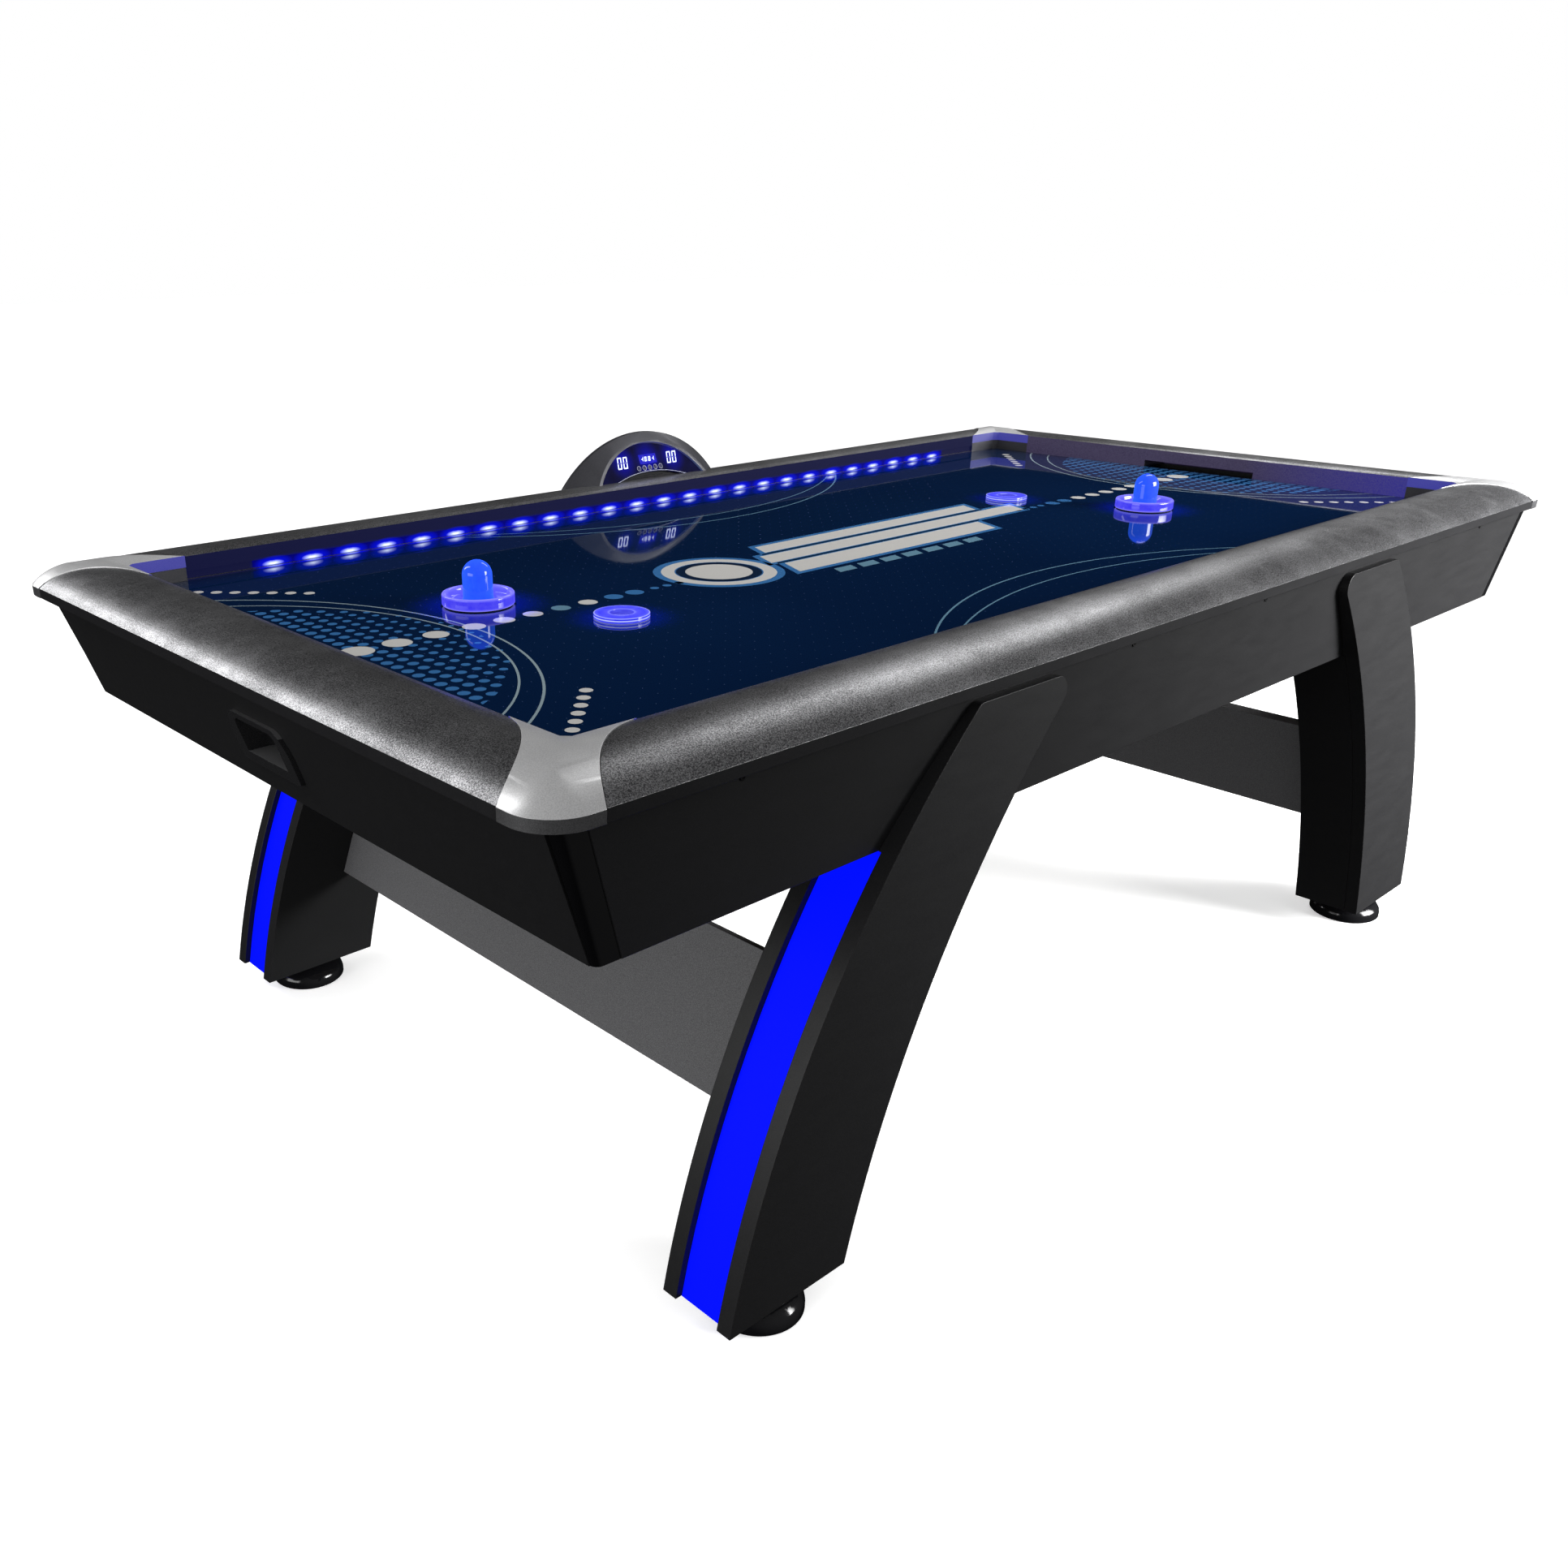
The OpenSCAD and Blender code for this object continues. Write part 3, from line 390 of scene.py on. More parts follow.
def lens_material():
    """Dark gloss, with the blue light of the digits behind it painted on as a glow round each score and the
    clock.
    """
    k = Mat("scorer_window", (0.002, 0.002, 0.006), Specular_IOR_Level=0.2)
    x, _, z = k.axes()
    cloud = k.noise(40.0, 3.0)
    wash = k.ramp(cloud, 0.3, 0.7, 0.03, 0.07)
    for cx, size in ((-SCORE_X, 0.034), (0.0, 0.036), (SCORE_X, 0.034)):
        r = k.length(k.math("SUBTRACT", x, cx * MM), k.math("SUBTRACT", z, DIGITS_Z))
        wash = k.math("ADD", wash, k.math("POWER", k.ramp(r, 0.0, size, 1.0, 0.0), 1.6))
    k.set("Emission Color", k.mix(wash, (0.0, 0.0, 0.002), (0.0, 0.0, 0.46)))
    k.b.inputs["Emission Strength"].default_value = 1.0
    k.set("Roughness", k.ramp(cloud, 0.3, 0.7, 0.09, 0.14))
    return k.m


M["lens"] = lens_material()


def recess_wall():
    """The wall round the scorer's window, with painted glow: paler at the foot and bluer towards the top."""
    k = Mat("scorer_recess", (0.05, 0.06, 0.09), Metallic=0.3)
    _, _, z = k.axes()
    n = k.noise(900.0, 2.0)
    k.set("Base Color", k.mix(n, (0.04, 0.05, 0.08), (0.06, 0.08, 0.12)))
    tone = k.mix(k.ramp(z, 0.775, 0.825), (0.045, 0.065, 0.130), (0.006, 0.004, 0.130))
    k.set("Emission Color", k.mix(k.math("MULTIPLY", n, 0.3), tone, (0.02, 0.02, 0.10)))
    k.b.inputs["Emission Strength"].default_value = 0.9
    k.set("Roughness", k.ramp(n, 0.3, 0.7, 0.30, 0.42))
    return k.m


M["scorer_inner"] = recess_wall()
# The recess's floor is near black: painted shade for the shadow deep in the recess below the window.
M["scorer_floor"] = plastic("scorer_recess_painted_shade", (0.002, 0.002, 0.003), 0.6, Specular_IOR_Level=0.1)
M["window"] = glow("lens_glow", (0.0, 0.0, 0.55), 1.0, (0.0, 0.0, 0.01), 0.2)


# ---------------------------------------------------------------- piece helpers
def new_piece(name, bm, material, body="table", smooth=35.0, at=None):
    """A visible piece from mesh code, which moves with a body; smooth is the sharp-edge angle or 0."""
    me = bpy.data.meshes.new(name)
    bm.normal_update()
    bm.to_mesh(me)
    bm.free()
    o = bpy.data.objects.new(name, me)
    bpy.context.scene.collection.objects.link(o)
    for m in material if isinstance(material, (list, tuple)) else [material]:
        me.materials.append(m)
    if at:
        o.location = at
    if smooth:
        for p in me.polygons:
            p.use_smooth = True
        me.set_sharp_from_angle(angle=math.radians(smooth))
    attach(o, body)
    return o


NODE_BODY = {n: b for b, members in frame["record"]["behaviour"]["bodies"].items() for n in members}


def bevel(o, width, segments):
    """Softened edges, where two faces meet at more than 30 degrees."""
    b = o.modifiers.new("edge", "BEVEL")
    b.width = width
    b.segments = segments
    b.limit_method = "ANGLE"
    b.angle_limit = math.radians(30)
    b.harden_normals = True
    b.use_clamp_overlap = True


def skin(node, material, width=0.8, segments=2, smooth=30.0, second=None):
    """A cleaned copy of a CAD node with edges softened by width mm, which is shown in its place.

    second, when given, says which of the listed materials a face takes.
    """
    bm = bmesh.new()
    bm.from_mesh(nodes[node].data)
    bmesh.ops.remove_doubles(bm, verts=bm.verts, dist=0.00002)
    bmesh.ops.dissolve_limit(bm, angle_limit=math.radians(0.6), verts=bm.verts, edges=bm.edges)
    if second:
        for f in bm.faces:
            f.material_index = second(f)
    o = new_piece("skin_" + node, bm, material, NODE_BODY[node], smooth)
    if width:
        bevel(o, width * MM, segments)
    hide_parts(node)
    return o


# ---------------------------------------------------------------- CAD nodes with their materials
# For each rail, the direction that it faces the bed in, and the material of that face.
RAIL_FACE = {"front": ((0, 1), "lit_face"), "back": ((0, -1), "lit_face"),
             "left": ((1, 0), "end_face"), "right": ((-1, 0), "end_face")}
# Half length and half width just outside the caps' inner lips, and the top of their skirts.
CAP_LIP_X = 1.0325
CAP_LIP_Y = 0.499
CAP_SKIRT_TOP = 0.742


def part_of_cap(f):
    """0 for the cast top, 1 for the skirt below it, 2 for the lips that look at the bed."""
    c = f.calc_center_median()
    if abs(f.normal.z) > 0.3:
        return 0
    if abs(c.x) < CAP_LIP_X and abs(c.y) < CAP_LIP_Y:
        return 2
    return 1 if c.z < CAP_SKIRT_TOP else 0


for side, ((nx, ny), key) in RAIL_FACE.items():
    def part_of_rail(f, nx=nx, ny=ny):
        """0 for the top and the barrel, 1 for the face towards the bed, 2 for the skirt and the underside."""
        inward = f.normal.x * nx + f.normal.y * ny
        return 1 if inward > 0.9 else 2 if inward < -0.95 or f.normal.z < -0.9 else 0
    skin("rail_" + side, (M["rail"], M[key], M["skirt"]), 0.5, second=part_of_rail)
    skin("apron_" + side, M["black"], 0.8)
for side in ("front", "back"):
    skin("led_strip_" + side, M["strip"], 0)
for a in ("front", "back"):
    for b in ("left", "right"):
        skin(f"corner_cap_{a}_{b}", (M["cap"], M["cap_skirt"], M["cap_face"]), 0.6, second=part_of_cap)
        skin(f"leg_panel_{a}_{b}", M["black"], 1.0)
        skin(f"leg_frame_{a}_{b}", M["black"], 0.8)
        skin(f"leveler_{a}_{b}", M["foot"], 0.5)
for side in ("left", "right"):
    skin("stretcher_" + side, M["stretcher"], 1.0)
    # Faces that look up take the lighter grey, painted light from above.
    skin("puck_return_" + side, (M["moulded"], M["ledge"]), 1.5, 3, second=lambda f: int(f.normal.z > 0.6))
for node, key in (("corner_blocks", "block"), ("plenum_frame", "wood"), ("plenum_floor", "wood"),
                  ("cross_beams", "wood"), ("corner_posts", "post"), ("apron_screws", "screw"),
                  ("leg_bolts", "steel"), ("leveler_inserts", "steel"), ("blower_housing", "blower"),
                  ("blower_motor", "steel"), ("blower_impeller", "blower"), ("blower_guard", "guard"),
                  ("power_panel", "moulded"), ("power_switch", "moulded"), ("leg_lights", "leg_light"),
                  ("scorer_board", "circuit")):
    skin(node, M[key], 0.3 if node != "corner_posts" else 0)
skin("bed", M["bed"], 0)


# ---------------------------------------------------------------- strikers and pucks
def lathe(profile, n=96):
    """A closed solid turned about Z from (radius, height) points in mm, from axis to axis."""
    bm = bmesh.new()
    rings = []
    for r, z in profile:
        if r < 1e-6:
            rings.append([bm.verts.new((0, 0, z * MM))])
        else:
            rings.append([bm.verts.new((r * MM * math.cos(2 * math.pi * i / n),
                                        r * MM * math.sin(2 * math.pi * i / n), z * MM))
                          for i in range(n)])
    for a, b in zip(rings, rings[1:]):
        for i in range(n):
            j = (i + 1) % n
            corners = [a[i % len(a)], a[j % len(a)], b[j % len(b)], b[i % len(b)]]
            bm.faces.new(list(dict.fromkeys(corners)))
    return bm


def middle(node):
    """The centre of a CAD node's underside."""
    lo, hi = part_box(node)
    return (lo.x + hi.x) / 2, (lo.y + hi.y) / 2, lo.z


# Outlines of half of each turned piece, as (radius, height) in mm from its underside.
RING = [(0, 0), (46.6, 0), (48.4, 0.5), (49.4, 1.8), (49.5, 3.0), (49.5, 13.8), (49.1, 15.2), (48.2, 16.2),
        (47.0, 16.5), (45.8, 16.2), (44.6, 15.2), (43.6, 12.8), (42.2, 8.4), (41.0, 6.6), (39.0, 5.8),
        (24.0, 4.9), (0, 4.9)]
KNOB_R = 20.5
KNOB_DOME = 39.3
KNOB = [(0, 4.5), (24.2, 4.5), (22.6, 5.4), (21.3, 6.8), (20.7, 8.6), (KNOB_R, 11.0), (KNOB_R, KNOB_DOME)]
KNOB += [(KNOB_R * math.cos(math.radians(a)), KNOB_DOME + KNOB_R * math.sin(math.radians(a)))
         for a in range(8, 90, 8)]
KNOB += [(0, KNOB_DOME + KNOB_R)]
PUCK = [(0, 0.8), (15.0, 0.8), (15.8, 0.6), (16.4, 0.15), (17.2, 0), (36.2, 0), (36.9, 0.2), (37.25, 0.8),
        (37.25, 2.5), (36.95, 2.8), (36.65, 3.1), (36.65, 3.9), (36.95, 4.2), (37.25, 4.5), (37.25, 6.2),
        (36.9, 6.8), (36.2, 7.0), (17.2, 7.0), (16.4, 6.85), (15.8, 6.4), (15.0, 6.2), (0, 6.2)]
for side in ("left", "right"):
    at = middle("striker_" + side)
    ring = new_piece(f"striker_{side}_ring", lathe(RING), M["ring"], "striker_" + side, 40.0, at)
    knob = new_piece(f"striker_{side}_knob", lathe(KNOB), M["knob"], "striker_" + side, 40.0, at)
    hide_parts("striker_" + side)
    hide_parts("striker_" + side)
    skin("striker_felt_" + side, M["felt"], 0.1)
    at = middle("puck_" + side)
    puck = new_piece(f"puck_{side}_disc", lathe(PUCK), M["puck"], "puck_" + side, 40.0,
                     at)
    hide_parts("puck_" + side)

# ---------------------------------------------------------------- scorer
# The face leans back by 24 degrees, from the middle of its lower edge. LENS is the window's front, in mm.
RISE = math.radians(90 - 24)
FACE_X = Vector((1, 0, 0))
FACE_UP = Vector((0, math.cos(RISE), math.sin(RISE)))
FACE_OUT = FACE_X.cross(FACE_UP)
FACE_AT = Vector((0, 0.527, 0.768))
LENS = -4.0
# What faces the players further in than this is the recess's floor, and its walls reach no further than this.
RECESS_FLOOR = -0.010
RECESS_BACK = -0.04


def part_of_scorer(f):
    """0 for the outside, 1 for the wall of the recess round the window, 2 for the recess floor."""
    d = f.calc_center_median() - FACE_AT
    out, facing = d.dot(FACE_OUT), f.normal.dot(FACE_OUT)
    if facing > 0.9:
        return 2 if out < RECESS_FLOOR else 0
    inwards = (FACE_UP * 0.010 - (d - FACE_OUT * out)).normalized()
    return 1 if abs(facing) < 0.5 and f.normal.dot(inwards) > 0.2 and out > RECESS_BACK else 0


skin("scorer_housing", (M["scorer"], M["scorer_inner"], M["scorer_floor"]), 0.8, 3, 40.0,
     second=part_of_scorer)


def on_face(x, up, out):
    """A point of the leaning face of the scorer, in mm across, up and out of the face."""
    return FACE_AT + FACE_X * x * MM + FACE_UP * up * MM + FACE_OUT * out * MM


def plates(name, polys, key, raised):
    """Thin shapes on the scorer's window, sunk 0.2 mm into it and raised by some mm."""
    bm = bmesh.new()
    for poly in polys:
        turn = sum(poly[i - 1][0] * poly[i][1] - poly[i][0] * poly[i - 1][1] for i in range(len(poly)))
        if turn < 0:
            poly = poly[::-1]
        low = [bm.verts.new(on_face(x, y, LENS - 0.2)) for x, y in poly]
        high = [bm.verts.new(on_face(x, y, LENS + raised)) for x, y in poly]
        bm.faces.new(low[::-1])
        bm.faces.new(high)
        for i in range(len(poly)):
            j = (i + 1) % len(poly)
            bm.faces.new((low[i], low[j], high[j], high[i]))
    return new_piece(name, bm, M[key], smooth=0)


DIGIT_LEAN = 0.17
# Height of the foot, width, height and stroke of the score's digits and of the clock's, in mm.
SCORE_DIGIT = (27.0, 9.8, 22.0, 2.2)
CLOCK_DIGIT = (36.0, 5.6, 8.6, 1.6)


def segments(cx, base, width, height, stroke, which):
    """Outlines of the segments in which, a to g, of one seven-segment digit."""
    g, t, w, h = stroke * 0.12, stroke, width / 2, height
    bars = {
        "a": [(-w + g, h), (w - g, h), (w - t - g, h - t), (-w + t + g, h - t)],
        "d": [(-w + g, 0), (w - g, 0), (w - t - g, t), (-w + t + g, t)],
        "g": [(-w + g + t / 2, h / 2), (-w + t + g, h / 2 + t / 2), (w - t - g, h / 2 + t / 2),
              (w - g - t / 2, h / 2), (w - t - g, h / 2 - t / 2), (-w + t + g, h / 2 - t / 2)],
        "f": [(-w, h - g), (-w + t, h - t - g), (-w + t, h / 2 + t / 2 + g), (-w, h / 2 + g)],
        "b": [(w, h - g), (w - t, h - t - g), (w - t, h / 2 + t / 2 + g), (w, h / 2 + g)],
        "e": [(-w, g), (-w + t, t + g), (-w + t, h / 2 - t / 2 - g), (-w, h / 2 - g)],
        "c": [(w, g), (w - t, t + g), (w - t, h / 2 - t / 2 - g), (w, h / 2 - g)],
    }
    return [[(cx + x + DIGIT_LEAN * y, base + y) for x, y in bars[s]] for s in which]


# The feet of leaning digits are moved to the left, so that the digits come out over their places.
SCORE_FOOT = -3.9
CLOCK_FOOT = -1.5
lit, unlit_bars = [], []
for cx in (-SCORE_X, SCORE_X):
    for d in (-6.9, 6.9):
        lit += segments(cx + d + SCORE_FOOT, *SCORE_DIGIT, "abcdef")
        unlit_bars += segments(cx + d + SCORE_FOOT, *SCORE_DIGIT, "g")
for d, which in ((-13.2, "bcg"), (-4.6, "abcdefg"), (4.6, "abcdefg"), (13.2, "bcg")):
    lit += segments(d + CLOCK_FOOT, *CLOCK_DIGIT, which)
plates("scorer_digits", lit, "digit", 0.25)
plates("scorer_digit_bars", unlit_bars, "digit_blue", 0.2)
plates("scorer_windows", [[(-21, 31.5), (21, 31.5), (21, 49.0), (-21, 49.0)]], "window", 0.05)

BUTTON_PITCH = 13.5
BUTTON_UP = 24


def ring_plate(cx, cy, r, w, n=28):
    """Quads of a ring w wide, from radius r outwards."""
    out = []
    for i in range(n):
        a0, a1 = 2 * math.pi * i / n, 2 * math.pi * (i + 1) / n
        out.append([(cx + q * math.cos(a), cy + q * math.sin(a))
                    for q, a in ((r, a0), (r + w, a0), (r + w, a1), (r, a1))])
    return out


rings = []
for i in range(-2, 3):
    rings += ring_plate(BUTTON_PITCH * i, BUTTON_UP, 4.0, 0.8)
plates("scorer_button_rings", rings, "line", 0.15)

# A thin pale line along the arc that is cut out of the window's foot, a painted highlight where light catches
# that edge: half width, rise and radius, in mm.
CUT_HALF = 92
CUT_RISE = 17
CUT_R = (CUT_HALF ** 2 + CUT_RISE ** 2) / (2 * CUT_RISE)
LINE_HALF_ANGLE = math.asin((CUT_HALF - 4) / CUT_R)
LINE_PIECES = 48
inner, outer = CUT_R + 0.2, CUT_R + 1.3
edge = []
for i in range(LINE_PIECES):
    a0, a1 = (LINE_HALF_ANGLE * (2 * j / LINE_PIECES - 1) for j in (i, i + 1))
    edge.append([(q * math.sin(a), CUT_RISE - CUT_R + q * math.cos(a))
                 for q, a in ((inner, a0), (outer, a0), (outer, a1), (inner, a1))])
plates("scorer_lens_edge_painted_highlight", edge, "line", 0.3)
skin("scorer_lens", M["lens"], 0.3)
for i in range(1, 6):
    skin(f"score_button_{i}", M["button"], 0.4)

# ---------------------------------------------------------------- printed markings
BED_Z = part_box("bed")[1].z
# Half length and half width of the printed field.
FIELD_X = 1.031
FIELD_Y = 0.4975
# Each goal crease is a patch of blue dots inside an arc whose centre lies beyond the end of the field.
CREASE_X = 1.106
CREASE_R = 0.306
CREASE_COLUMNS = 11
CREASE_FIRST_X = 0.805
CREASE_STEP_X = 0.02165
CREASE_STEP_Y = 0.0225
# The crease dots are this wide at this x, and grow by this much per metre towards the goal.
CREASE_DOT = 0.0154
CREASE_DOT_X = 0.9593
CREASE_DOT_GROWTH = 0.0502
# Place, in metres, and width, in mm, of the white dots on the centre line. On the left half one is grey.
CENTRE_DOTS = ((0.956, 42), (0.900, 38), (0.843, 34), (0.785, 31), (0.737, 29), (0.690, 27.5), (0.643, 27),
               (0.596, 27))
GREY_DOT = 6
BLUE_DOTS_X = (0.550, 0.5115)
BLUE_DOT_R = 0.0135
SMALL_DOTS_X = (0.4025, 0.4265, 0.4502, 0.474)
SMALL_DOT_R = 0.0066
# First place, step and radius of the white dots that slant away from each corner.
CORNER_DOT = (0.851, 0.3070)
CORNER_STEP = (0.0190, 0.0188)
CORNER_DOT_R = 0.0080
# Distance of the centre, radius and width of the pairs of thin arcs at the ends and at the sides.
END_ARCS = ((1.2330, 0.4440, 0.0034), (1.1975, 0.3880, 0.0030))
SIDE_ARCS = ((0.991, 0.687, 0.0030), (1.109, 0.761, 0.0026))
# Each printed layer lies this much higher than the one below it.
LAYER = 0.00004


def disc(cx, cy, r, n=40):
    """The outline of a disc, with n corners."""
    angles = [2 * math.pi * i / n for i in range(n)]
    return [(cx + r * math.cos(a), cy + r * math.sin(a)) for a in angles]


def arc_band(cx, cy, r, w, a0, a1, n=96):
    """Quads of a thin ring segment, angles in degrees."""
    out = []
    for i in range(n):
        t0 = math.radians(a0 + (a1 - a0) * i / n)
        t1 = math.radians(a0 + (a1 - a0) * (i + 1) / n)
        ri, ro = r - w / 2, r + w / 2
        out.append([(cx + q * math.cos(t), cy + q * math.sin(t))
                    for q, t in ((ri, t0), (ro, t0), (ro, t1), (ri, t1))])
    return out


def printed(name, polys, key, layer):
    """Flat shapes just above the bed."""
    bm = bmesh.new()
    z = BED_Z + LAYER * layer
    for poly in polys:
        bm.faces.new([bm.verts.new((x, y, z)) for x, y in poly])
    bmesh.ops.remove_doubles(bm, verts=bm.verts, dist=0.000001)
    for f in bm.faces:
        if f.normal.z < 0:
            f.normal_flip()
    return new_piece(name, bm, M[key], smooth=0)


def mirrored(polys, sx, sy):
    """The shapes turned over along X, Y or both by a sign of -1, still facing up."""
    return [[(sx * x, sy * y) for x, y in (p if sx * sy > 0 else p[::-1])] for p in polys]


def crease_dot(x, y, r):
    """A dot of the crease, flattened where it would pass the crease's arc or the end of the field."""
    rim = []
    for px, py in disc(x, y, r, 24):
        d = math.hypot(px - CREASE_X, py)
        if d > CREASE_R:
            px, py = CREASE_X + (px - CREASE_X) * CREASE_R / d, py * CREASE_R / d
        rim.append((min(px, FIELD_X - 0.001), py))
    return rim


def crease_dots():
    """The grid of dots of the right goal's crease."""
    dots = []
    for i in range(CREASE_COLUMNS):
        x = CREASE_FIRST_X + CREASE_STEP_X * i
        r = (CREASE_DOT - CREASE_DOT_GROWTH * (CREASE_DOT_X - x)) / 2
        rows = int(CREASE_R / CREASE_STEP_Y) + 1
        for j in range(-rows, rows + 1):
            y = CREASE_STEP_Y * j
            if math.hypot(x - CREASE_X, y) <= CREASE_R + r * 0.6:
                dots.append(crease_dot(x, y, r))
    return dots


blue, white, line_blue, lines, grey = [], [], [], [], []
for s in (1, -1):
    blue += mirrored(crease_dots(), s, 1)
    for i, (x, d) in enumerate(CENTRE_DOTS):
        (grey if i == GREY_DOT and s < 0 else white).append(disc(s * x, 0, d / 2 * MM))
    line_blue += [disc(s * x, 0, BLUE_DOT_R) for x in BLUE_DOTS_X]
    line_blue += [disc(s * x, 0, SMALL_DOT_R) for x in SMALL_DOTS_X]
    for t in (1, -1):
        for i in range(7):
            x, y = (first + step * i for first, step in zip(CORNER_DOT, CORNER_STEP))
            white.append(disc(s * x, t * y, CORNER_DOT_R, 28))
    for cx, r, w in END_ARCS:
        half = math.degrees(math.acos((cx - FIELD_X) / r))
        lines += mirrored(arc_band(-cx, 0, r, w, -half, half), -s, 1)
    for cy, r, w in SIDE_ARCS:
        half = math.degrees(math.acos((cy - FIELD_Y) / r))
        grey += mirrored(arc_band(0, -cy, r, w, 90 - half, 90 + half, 120), 1, s)
printed("print_crease_dots", blue, "ink_blue", 1)
printed("print_blue_dots", line_blue, "ink_blue", 2)
printed("print_white_dots", white, "ink_white", 3)
printed("print_crease_lines", lines, "ink_pale", 2)
printed("print_side_lines", grey, "ink_grey", 2)


def slanted(x0, x1, y0, y1, lean=0.45):
    """A bar from x0 to x1 and from y0 to y1, whose ends lean."""
    return [(x0 + y0 * lean, y0), (x1 + y0 * lean, y0), (x1 + y1 * lean, y1), (x0 + y1 * lean, y1)]


def grown(poly, d):
    """A polygon pushed outwards by d, for the coloured outline round a shape."""
    out, n = [], len(poly)
    for i in range(n):
        a, b, c = (Vector(poly[(i + k) % n]) for k in (-1, 0, 1))
        e0, e1 = (b - a).normalized(), (c - b).normalized()
        n0, n1 = Vector((e0.y, -e0.x)), Vector((e1.y, -e1.x))
        miter = n0 + n1
        miter = miter / max(miter.length_squared / 2, 0.35)
        out.append(tuple(b + miter * d))
    return out


# A generic emblem: a ringed disc that trails three slanted speed bars, with a thin row of bars below.
HUB = (-0.335, 0.012)
hub_disc = disc(*HUB, 0.050, 48)
hub_ring = arc_band(*HUB, 0.076, 0.020, 0, 360, 64)
speed = [slanted(-0.215, 0.330, 0.058, 0.098),
         slanted(-0.235, 0.420, 0.000, 0.044),
         slanted(-0.215, 0.270, -0.068, -0.014)]
BAR_PITCH = 0.052
BAR_LENGTH = 0.038
starts = [-0.155 + BAR_PITCH * i for i in range(7)]
bars = [slanted(x, x + BAR_LENGTH, -0.112, -0.090) for x in starts]
printed("print_emblem_edge", [disc(*HUB, 0.098, 64)] + [grown(p, 0.010) for p in speed], "ink_blue", 2)
printed("print_emblem_gap", [disc(*HUB, 0.064, 56)], "ink_navy", 3)
printed("print_emblem", [hub_disc] + hub_ring + speed, "ink_white", 4)
printed("print_emblem_bars", bars, "ink_grey", 3)

# ---------------------------------------------------------------- floor, light, camera
def floor_material():
    """Near-white paper that glows a little, so that it stays plain round the object."""
    k = Mat("floor_pale", (0.9, 0.9, 0.9), Roughness=0.9, Specular_IOR_Level=0.05,
            Emission_Color=(1.0, 1.0, 1.0), Emission_Strength=0.46)
    n = k.noise(3.0, 2.0)
    return k.set("Base Color", k.mix(n, (0.90, 0.90, 0.90), (0.93, 0.93, 0.93))).m


# The camera sees the floor, but the black boards don't, neither as a mirror image nor as a glow.
bm = bmesh.new()
bmesh.ops.create_grid(bm, x_segments=8, y_segments=8, size=30)
floor = new_piece("floor", bm, floor_material(), smooth=0)
floor.location.z = -0.0005
floor.visible_glossy = False
floor.visible_diffuse = False

world = bpy.data.worlds.new("studio")
bpy.context.scene.world = world
world.use_nodes = True
wt = world.node_tree
background = wt.nodes["Background"]
path = wt.nodes.new("ShaderNodeLightPath")


def world_value(camera, glossy, rest):
    """Brightness seen by camera rays, by mirror-like rays and by all others."""
    indirect = wt.nodes.new("ShaderNodeMix")
    wt.links.new(path.outputs["Is Glossy Ray"], indirect.inputs["Factor"])
    wt.links.new(rest, indirect.inputs["A"])
    wt.links.new(glossy, indirect.inputs["B"])
    seen = wt.nodes.new("ShaderNodeMix")
    wt.links.new(path.outputs["Is Camera Ray"], seen.inputs["Factor"])
    wt.links.new(indirect.outputs["Result"], seen.inputs["A"])
    seen.inputs["B"].default_value = camera
    return seen.outputs["Result"]


def toward(direction, start, end, dark, light):
    """Brightness that grows from dark to light towards a direction of the room."""
    coord = wt.nodes.new("ShaderNodeTexCoord")
    dot = wt.nodes.new("ShaderNodeVectorMath")
    dot.operation = "DOT_PRODUCT"
    wt.links.new(coord.outputs["Generated"], dot.inputs[0])
    dot.inputs[1].default_value = direction
    span = wt.nodes.new("ShaderNodeMapRange")
    wt.links.new(dot.outputs["Value"], span.inputs["Value"])
    for key, v in (("From Min", start), ("From Max", end), ("To Min", dark), ("To Max", light)):
        span.inputs[key].default_value = v
    return span.outputs["Result"]


room = toward((0.30, -0.85, 0.42), 0.12, 0.95, 0.004, 0.17)
ambient = toward((-0.5, 0.0, 0.87), -0.25, 0.60, 0.06, 0.90)
wt.links.new(world_value(1.0, room, ambient), background.inputs["Strength"])
background.inputs["Color"].default_value = (1, 1, 1, 1)


def area(name, place, target, size, power, along=(1, 0, 0)):
    """A soft strip of light, length by width, whose length runs as nearly as it can along a direction."""
    light = bpy.data.lights.new(name, "AREA")
    light.energy = power
    light.shape = "RECTANGLE"
    light.size, light.size_y = size
    o = bpy.data.objects.new(name, light)
    bpy.context.scene.collection.objects.link(o)
    back = (Vector(place) - Vector(target)).normalized()
    across = Vector(along)
    across = (across - back * across.dot(back)).normalized()
    turned = Matrix((across, back.cross(across), back)).transposed().to_4x4()
    o.matrix_world = Matrix.Translation(place) @ turned
    return o


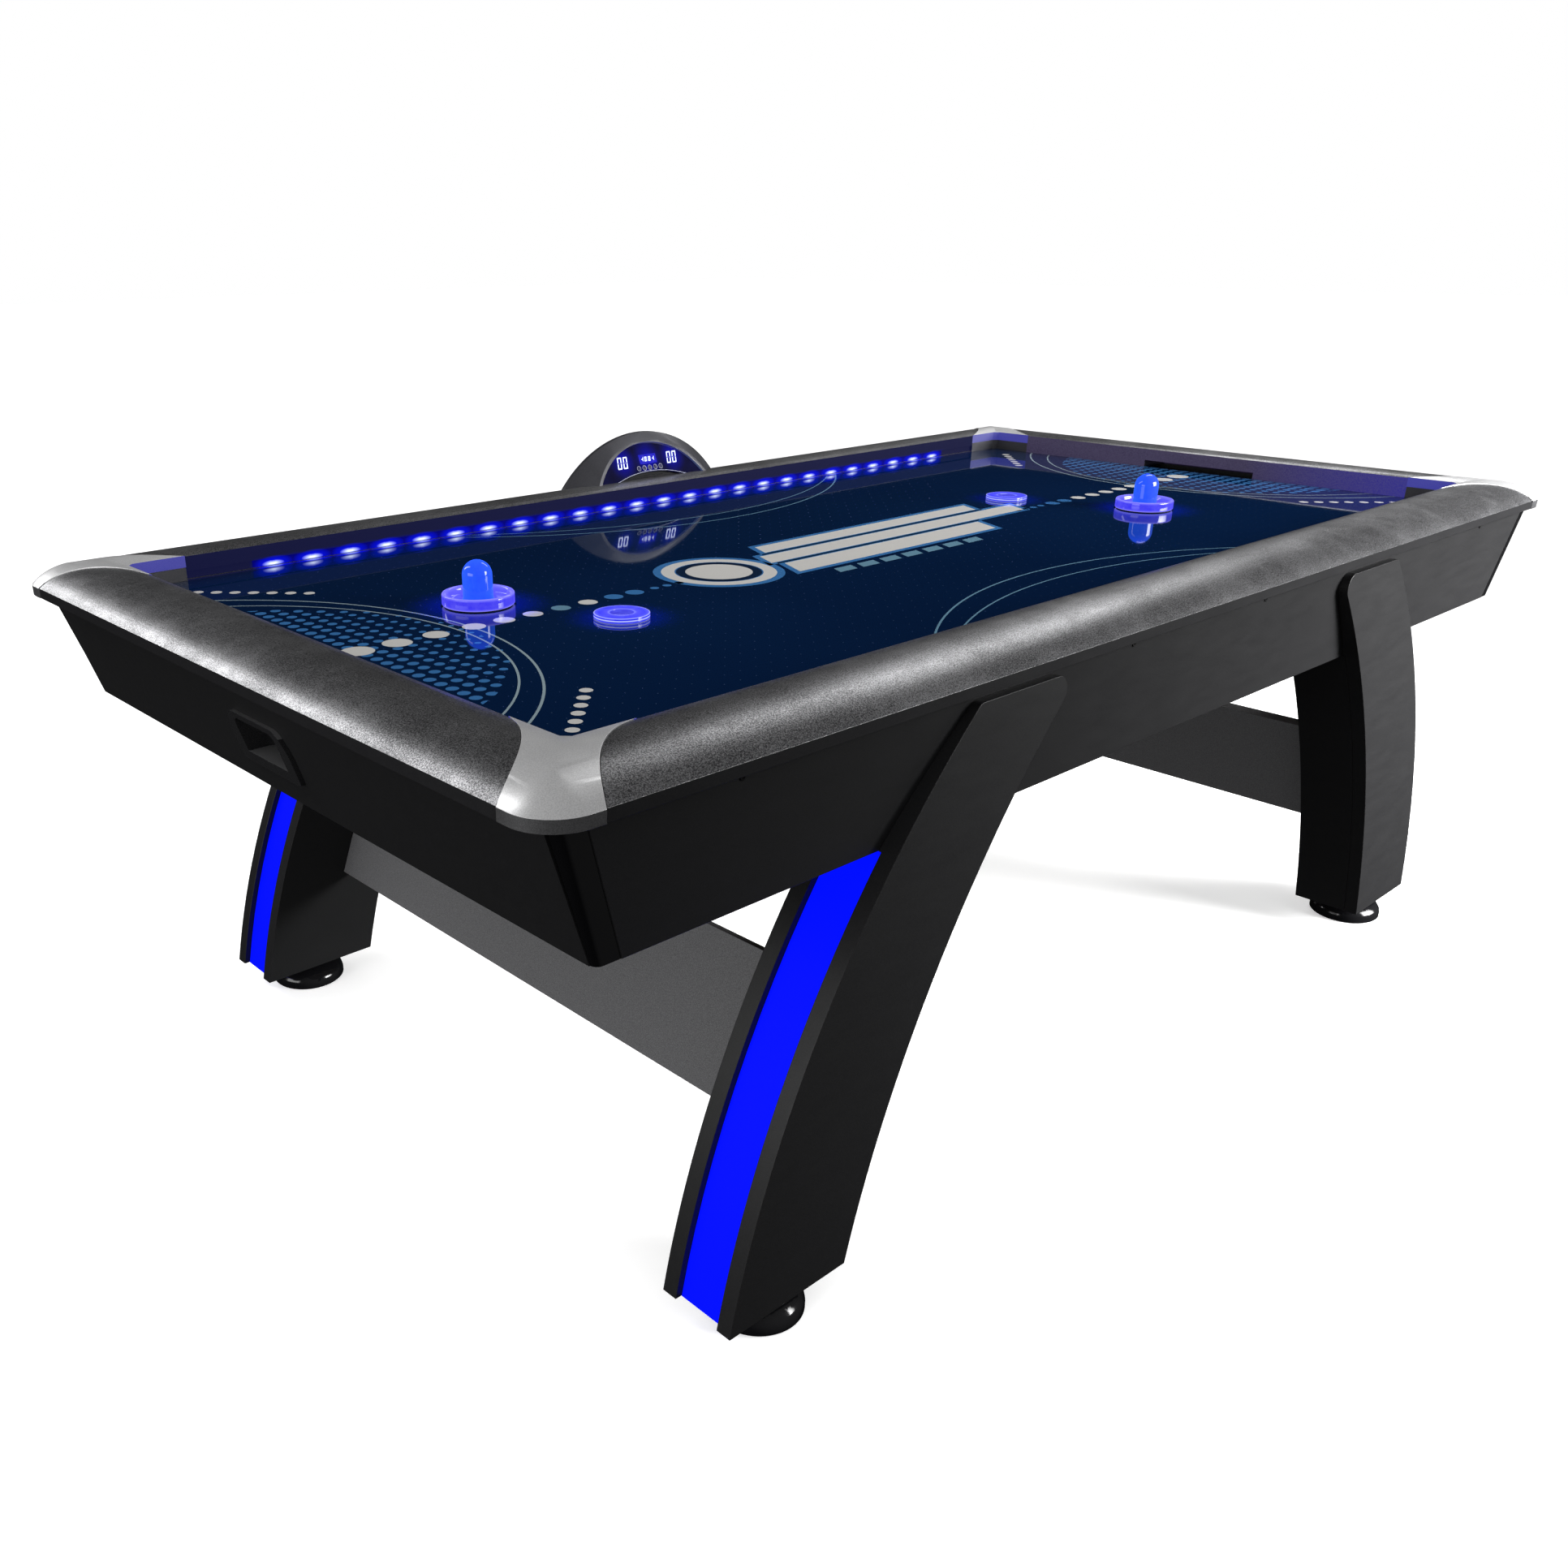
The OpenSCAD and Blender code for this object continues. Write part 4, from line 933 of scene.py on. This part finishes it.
area("light_back", (-2.0, 2.4, 2.5), (-1.1, -0.1, 0.75), (2.8, 0.5), 36, (-0.45, 0, 0.89))
area("light_far", (2.2, 0.62, 3.05), (-0.6, -0.55, 0.75), (2.0, 0.5), 24, (0, 0.45, 0.89))
side_light = area("light_side", (2.0, -2.5, 1.3), (1.35, -0.6, 0.5), (2.2, 1.5), 74)
side_light.data.spread = math.radians(65)
area("light_end", (-4.0, 0.1, 1.0), (-1.0, 0.0, 0.5), (2.6, 1.4), 52, (0, 1, 0))


HALO_HEIGHT = 0.4


def halo(name, body, x, y, width, power):
    """A blue lamp over a lit piece, which spills round it onto the bed and moves with it."""
    light = bpy.data.lights.new(name, "SPOT")
    light.energy = power
    light.color = (0.03, 0.05, 1.0)
    light.spot_size = 2 * math.atan(width / 2 / HALO_HEIGHT)
    light.spot_blend = 1.0
    light.shadow_soft_size = 0.03
    o = bpy.data.objects.new(name, light)
    bpy.context.scene.collection.objects.link(o)
    o.location = (x, y, BED_Z + HALO_HEIGHT)
    o.visible_glossy = False
    o.visible_camera = False
    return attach(o, body)


for side in ("left", "right"):
    halo("halo_striker_" + side, "striker_" + side, *middle("striker_" + side)[:2], 0.18, 75)
    halo("halo_puck_" + side, "puck_" + side, *middle("puck_" + side)[:2], 0.13, 55)

# The camera that fits the photo: where it stands, how it is turned, and its lens, in mm.
CAMERA_AT = (-1.7647, -1.4361, 1.1832)
YAW, PITCH, ROLL = math.radians(40.7), math.radians(-24.2), math.radians(-0.5)
camera_data = bpy.data.cameras.new("camera")
camera_data.sensor_width = 36
camera_data.lens = 31.5727
camera_data.shift_x = 0.1000
camera_data.shift_y = 0.0450
camera_data.clip_end = 200
camera = bpy.data.objects.new("camera", camera_data)
bpy.context.scene.collection.objects.link(camera)
forward = Vector((math.cos(PITCH) * math.sin(YAW), math.cos(PITCH) * math.cos(YAW), math.sin(PITCH)))
right = forward.cross(Vector((0, 0, 1))).normalized()
up = right.cross(forward)
rolled_right = right * math.cos(ROLL) + up * math.sin(ROLL)
rolled_up = up * math.cos(ROLL) - right * math.sin(ROLL)
turned = Matrix((rolled_right, rolled_up, -forward)).transposed().to_4x4()
camera.matrix_world = Matrix.Translation(CAMERA_AT) @ turned
bpy.context.scene.camera = camera
bpy.context.scene.view_settings.view_transform = "Standard"
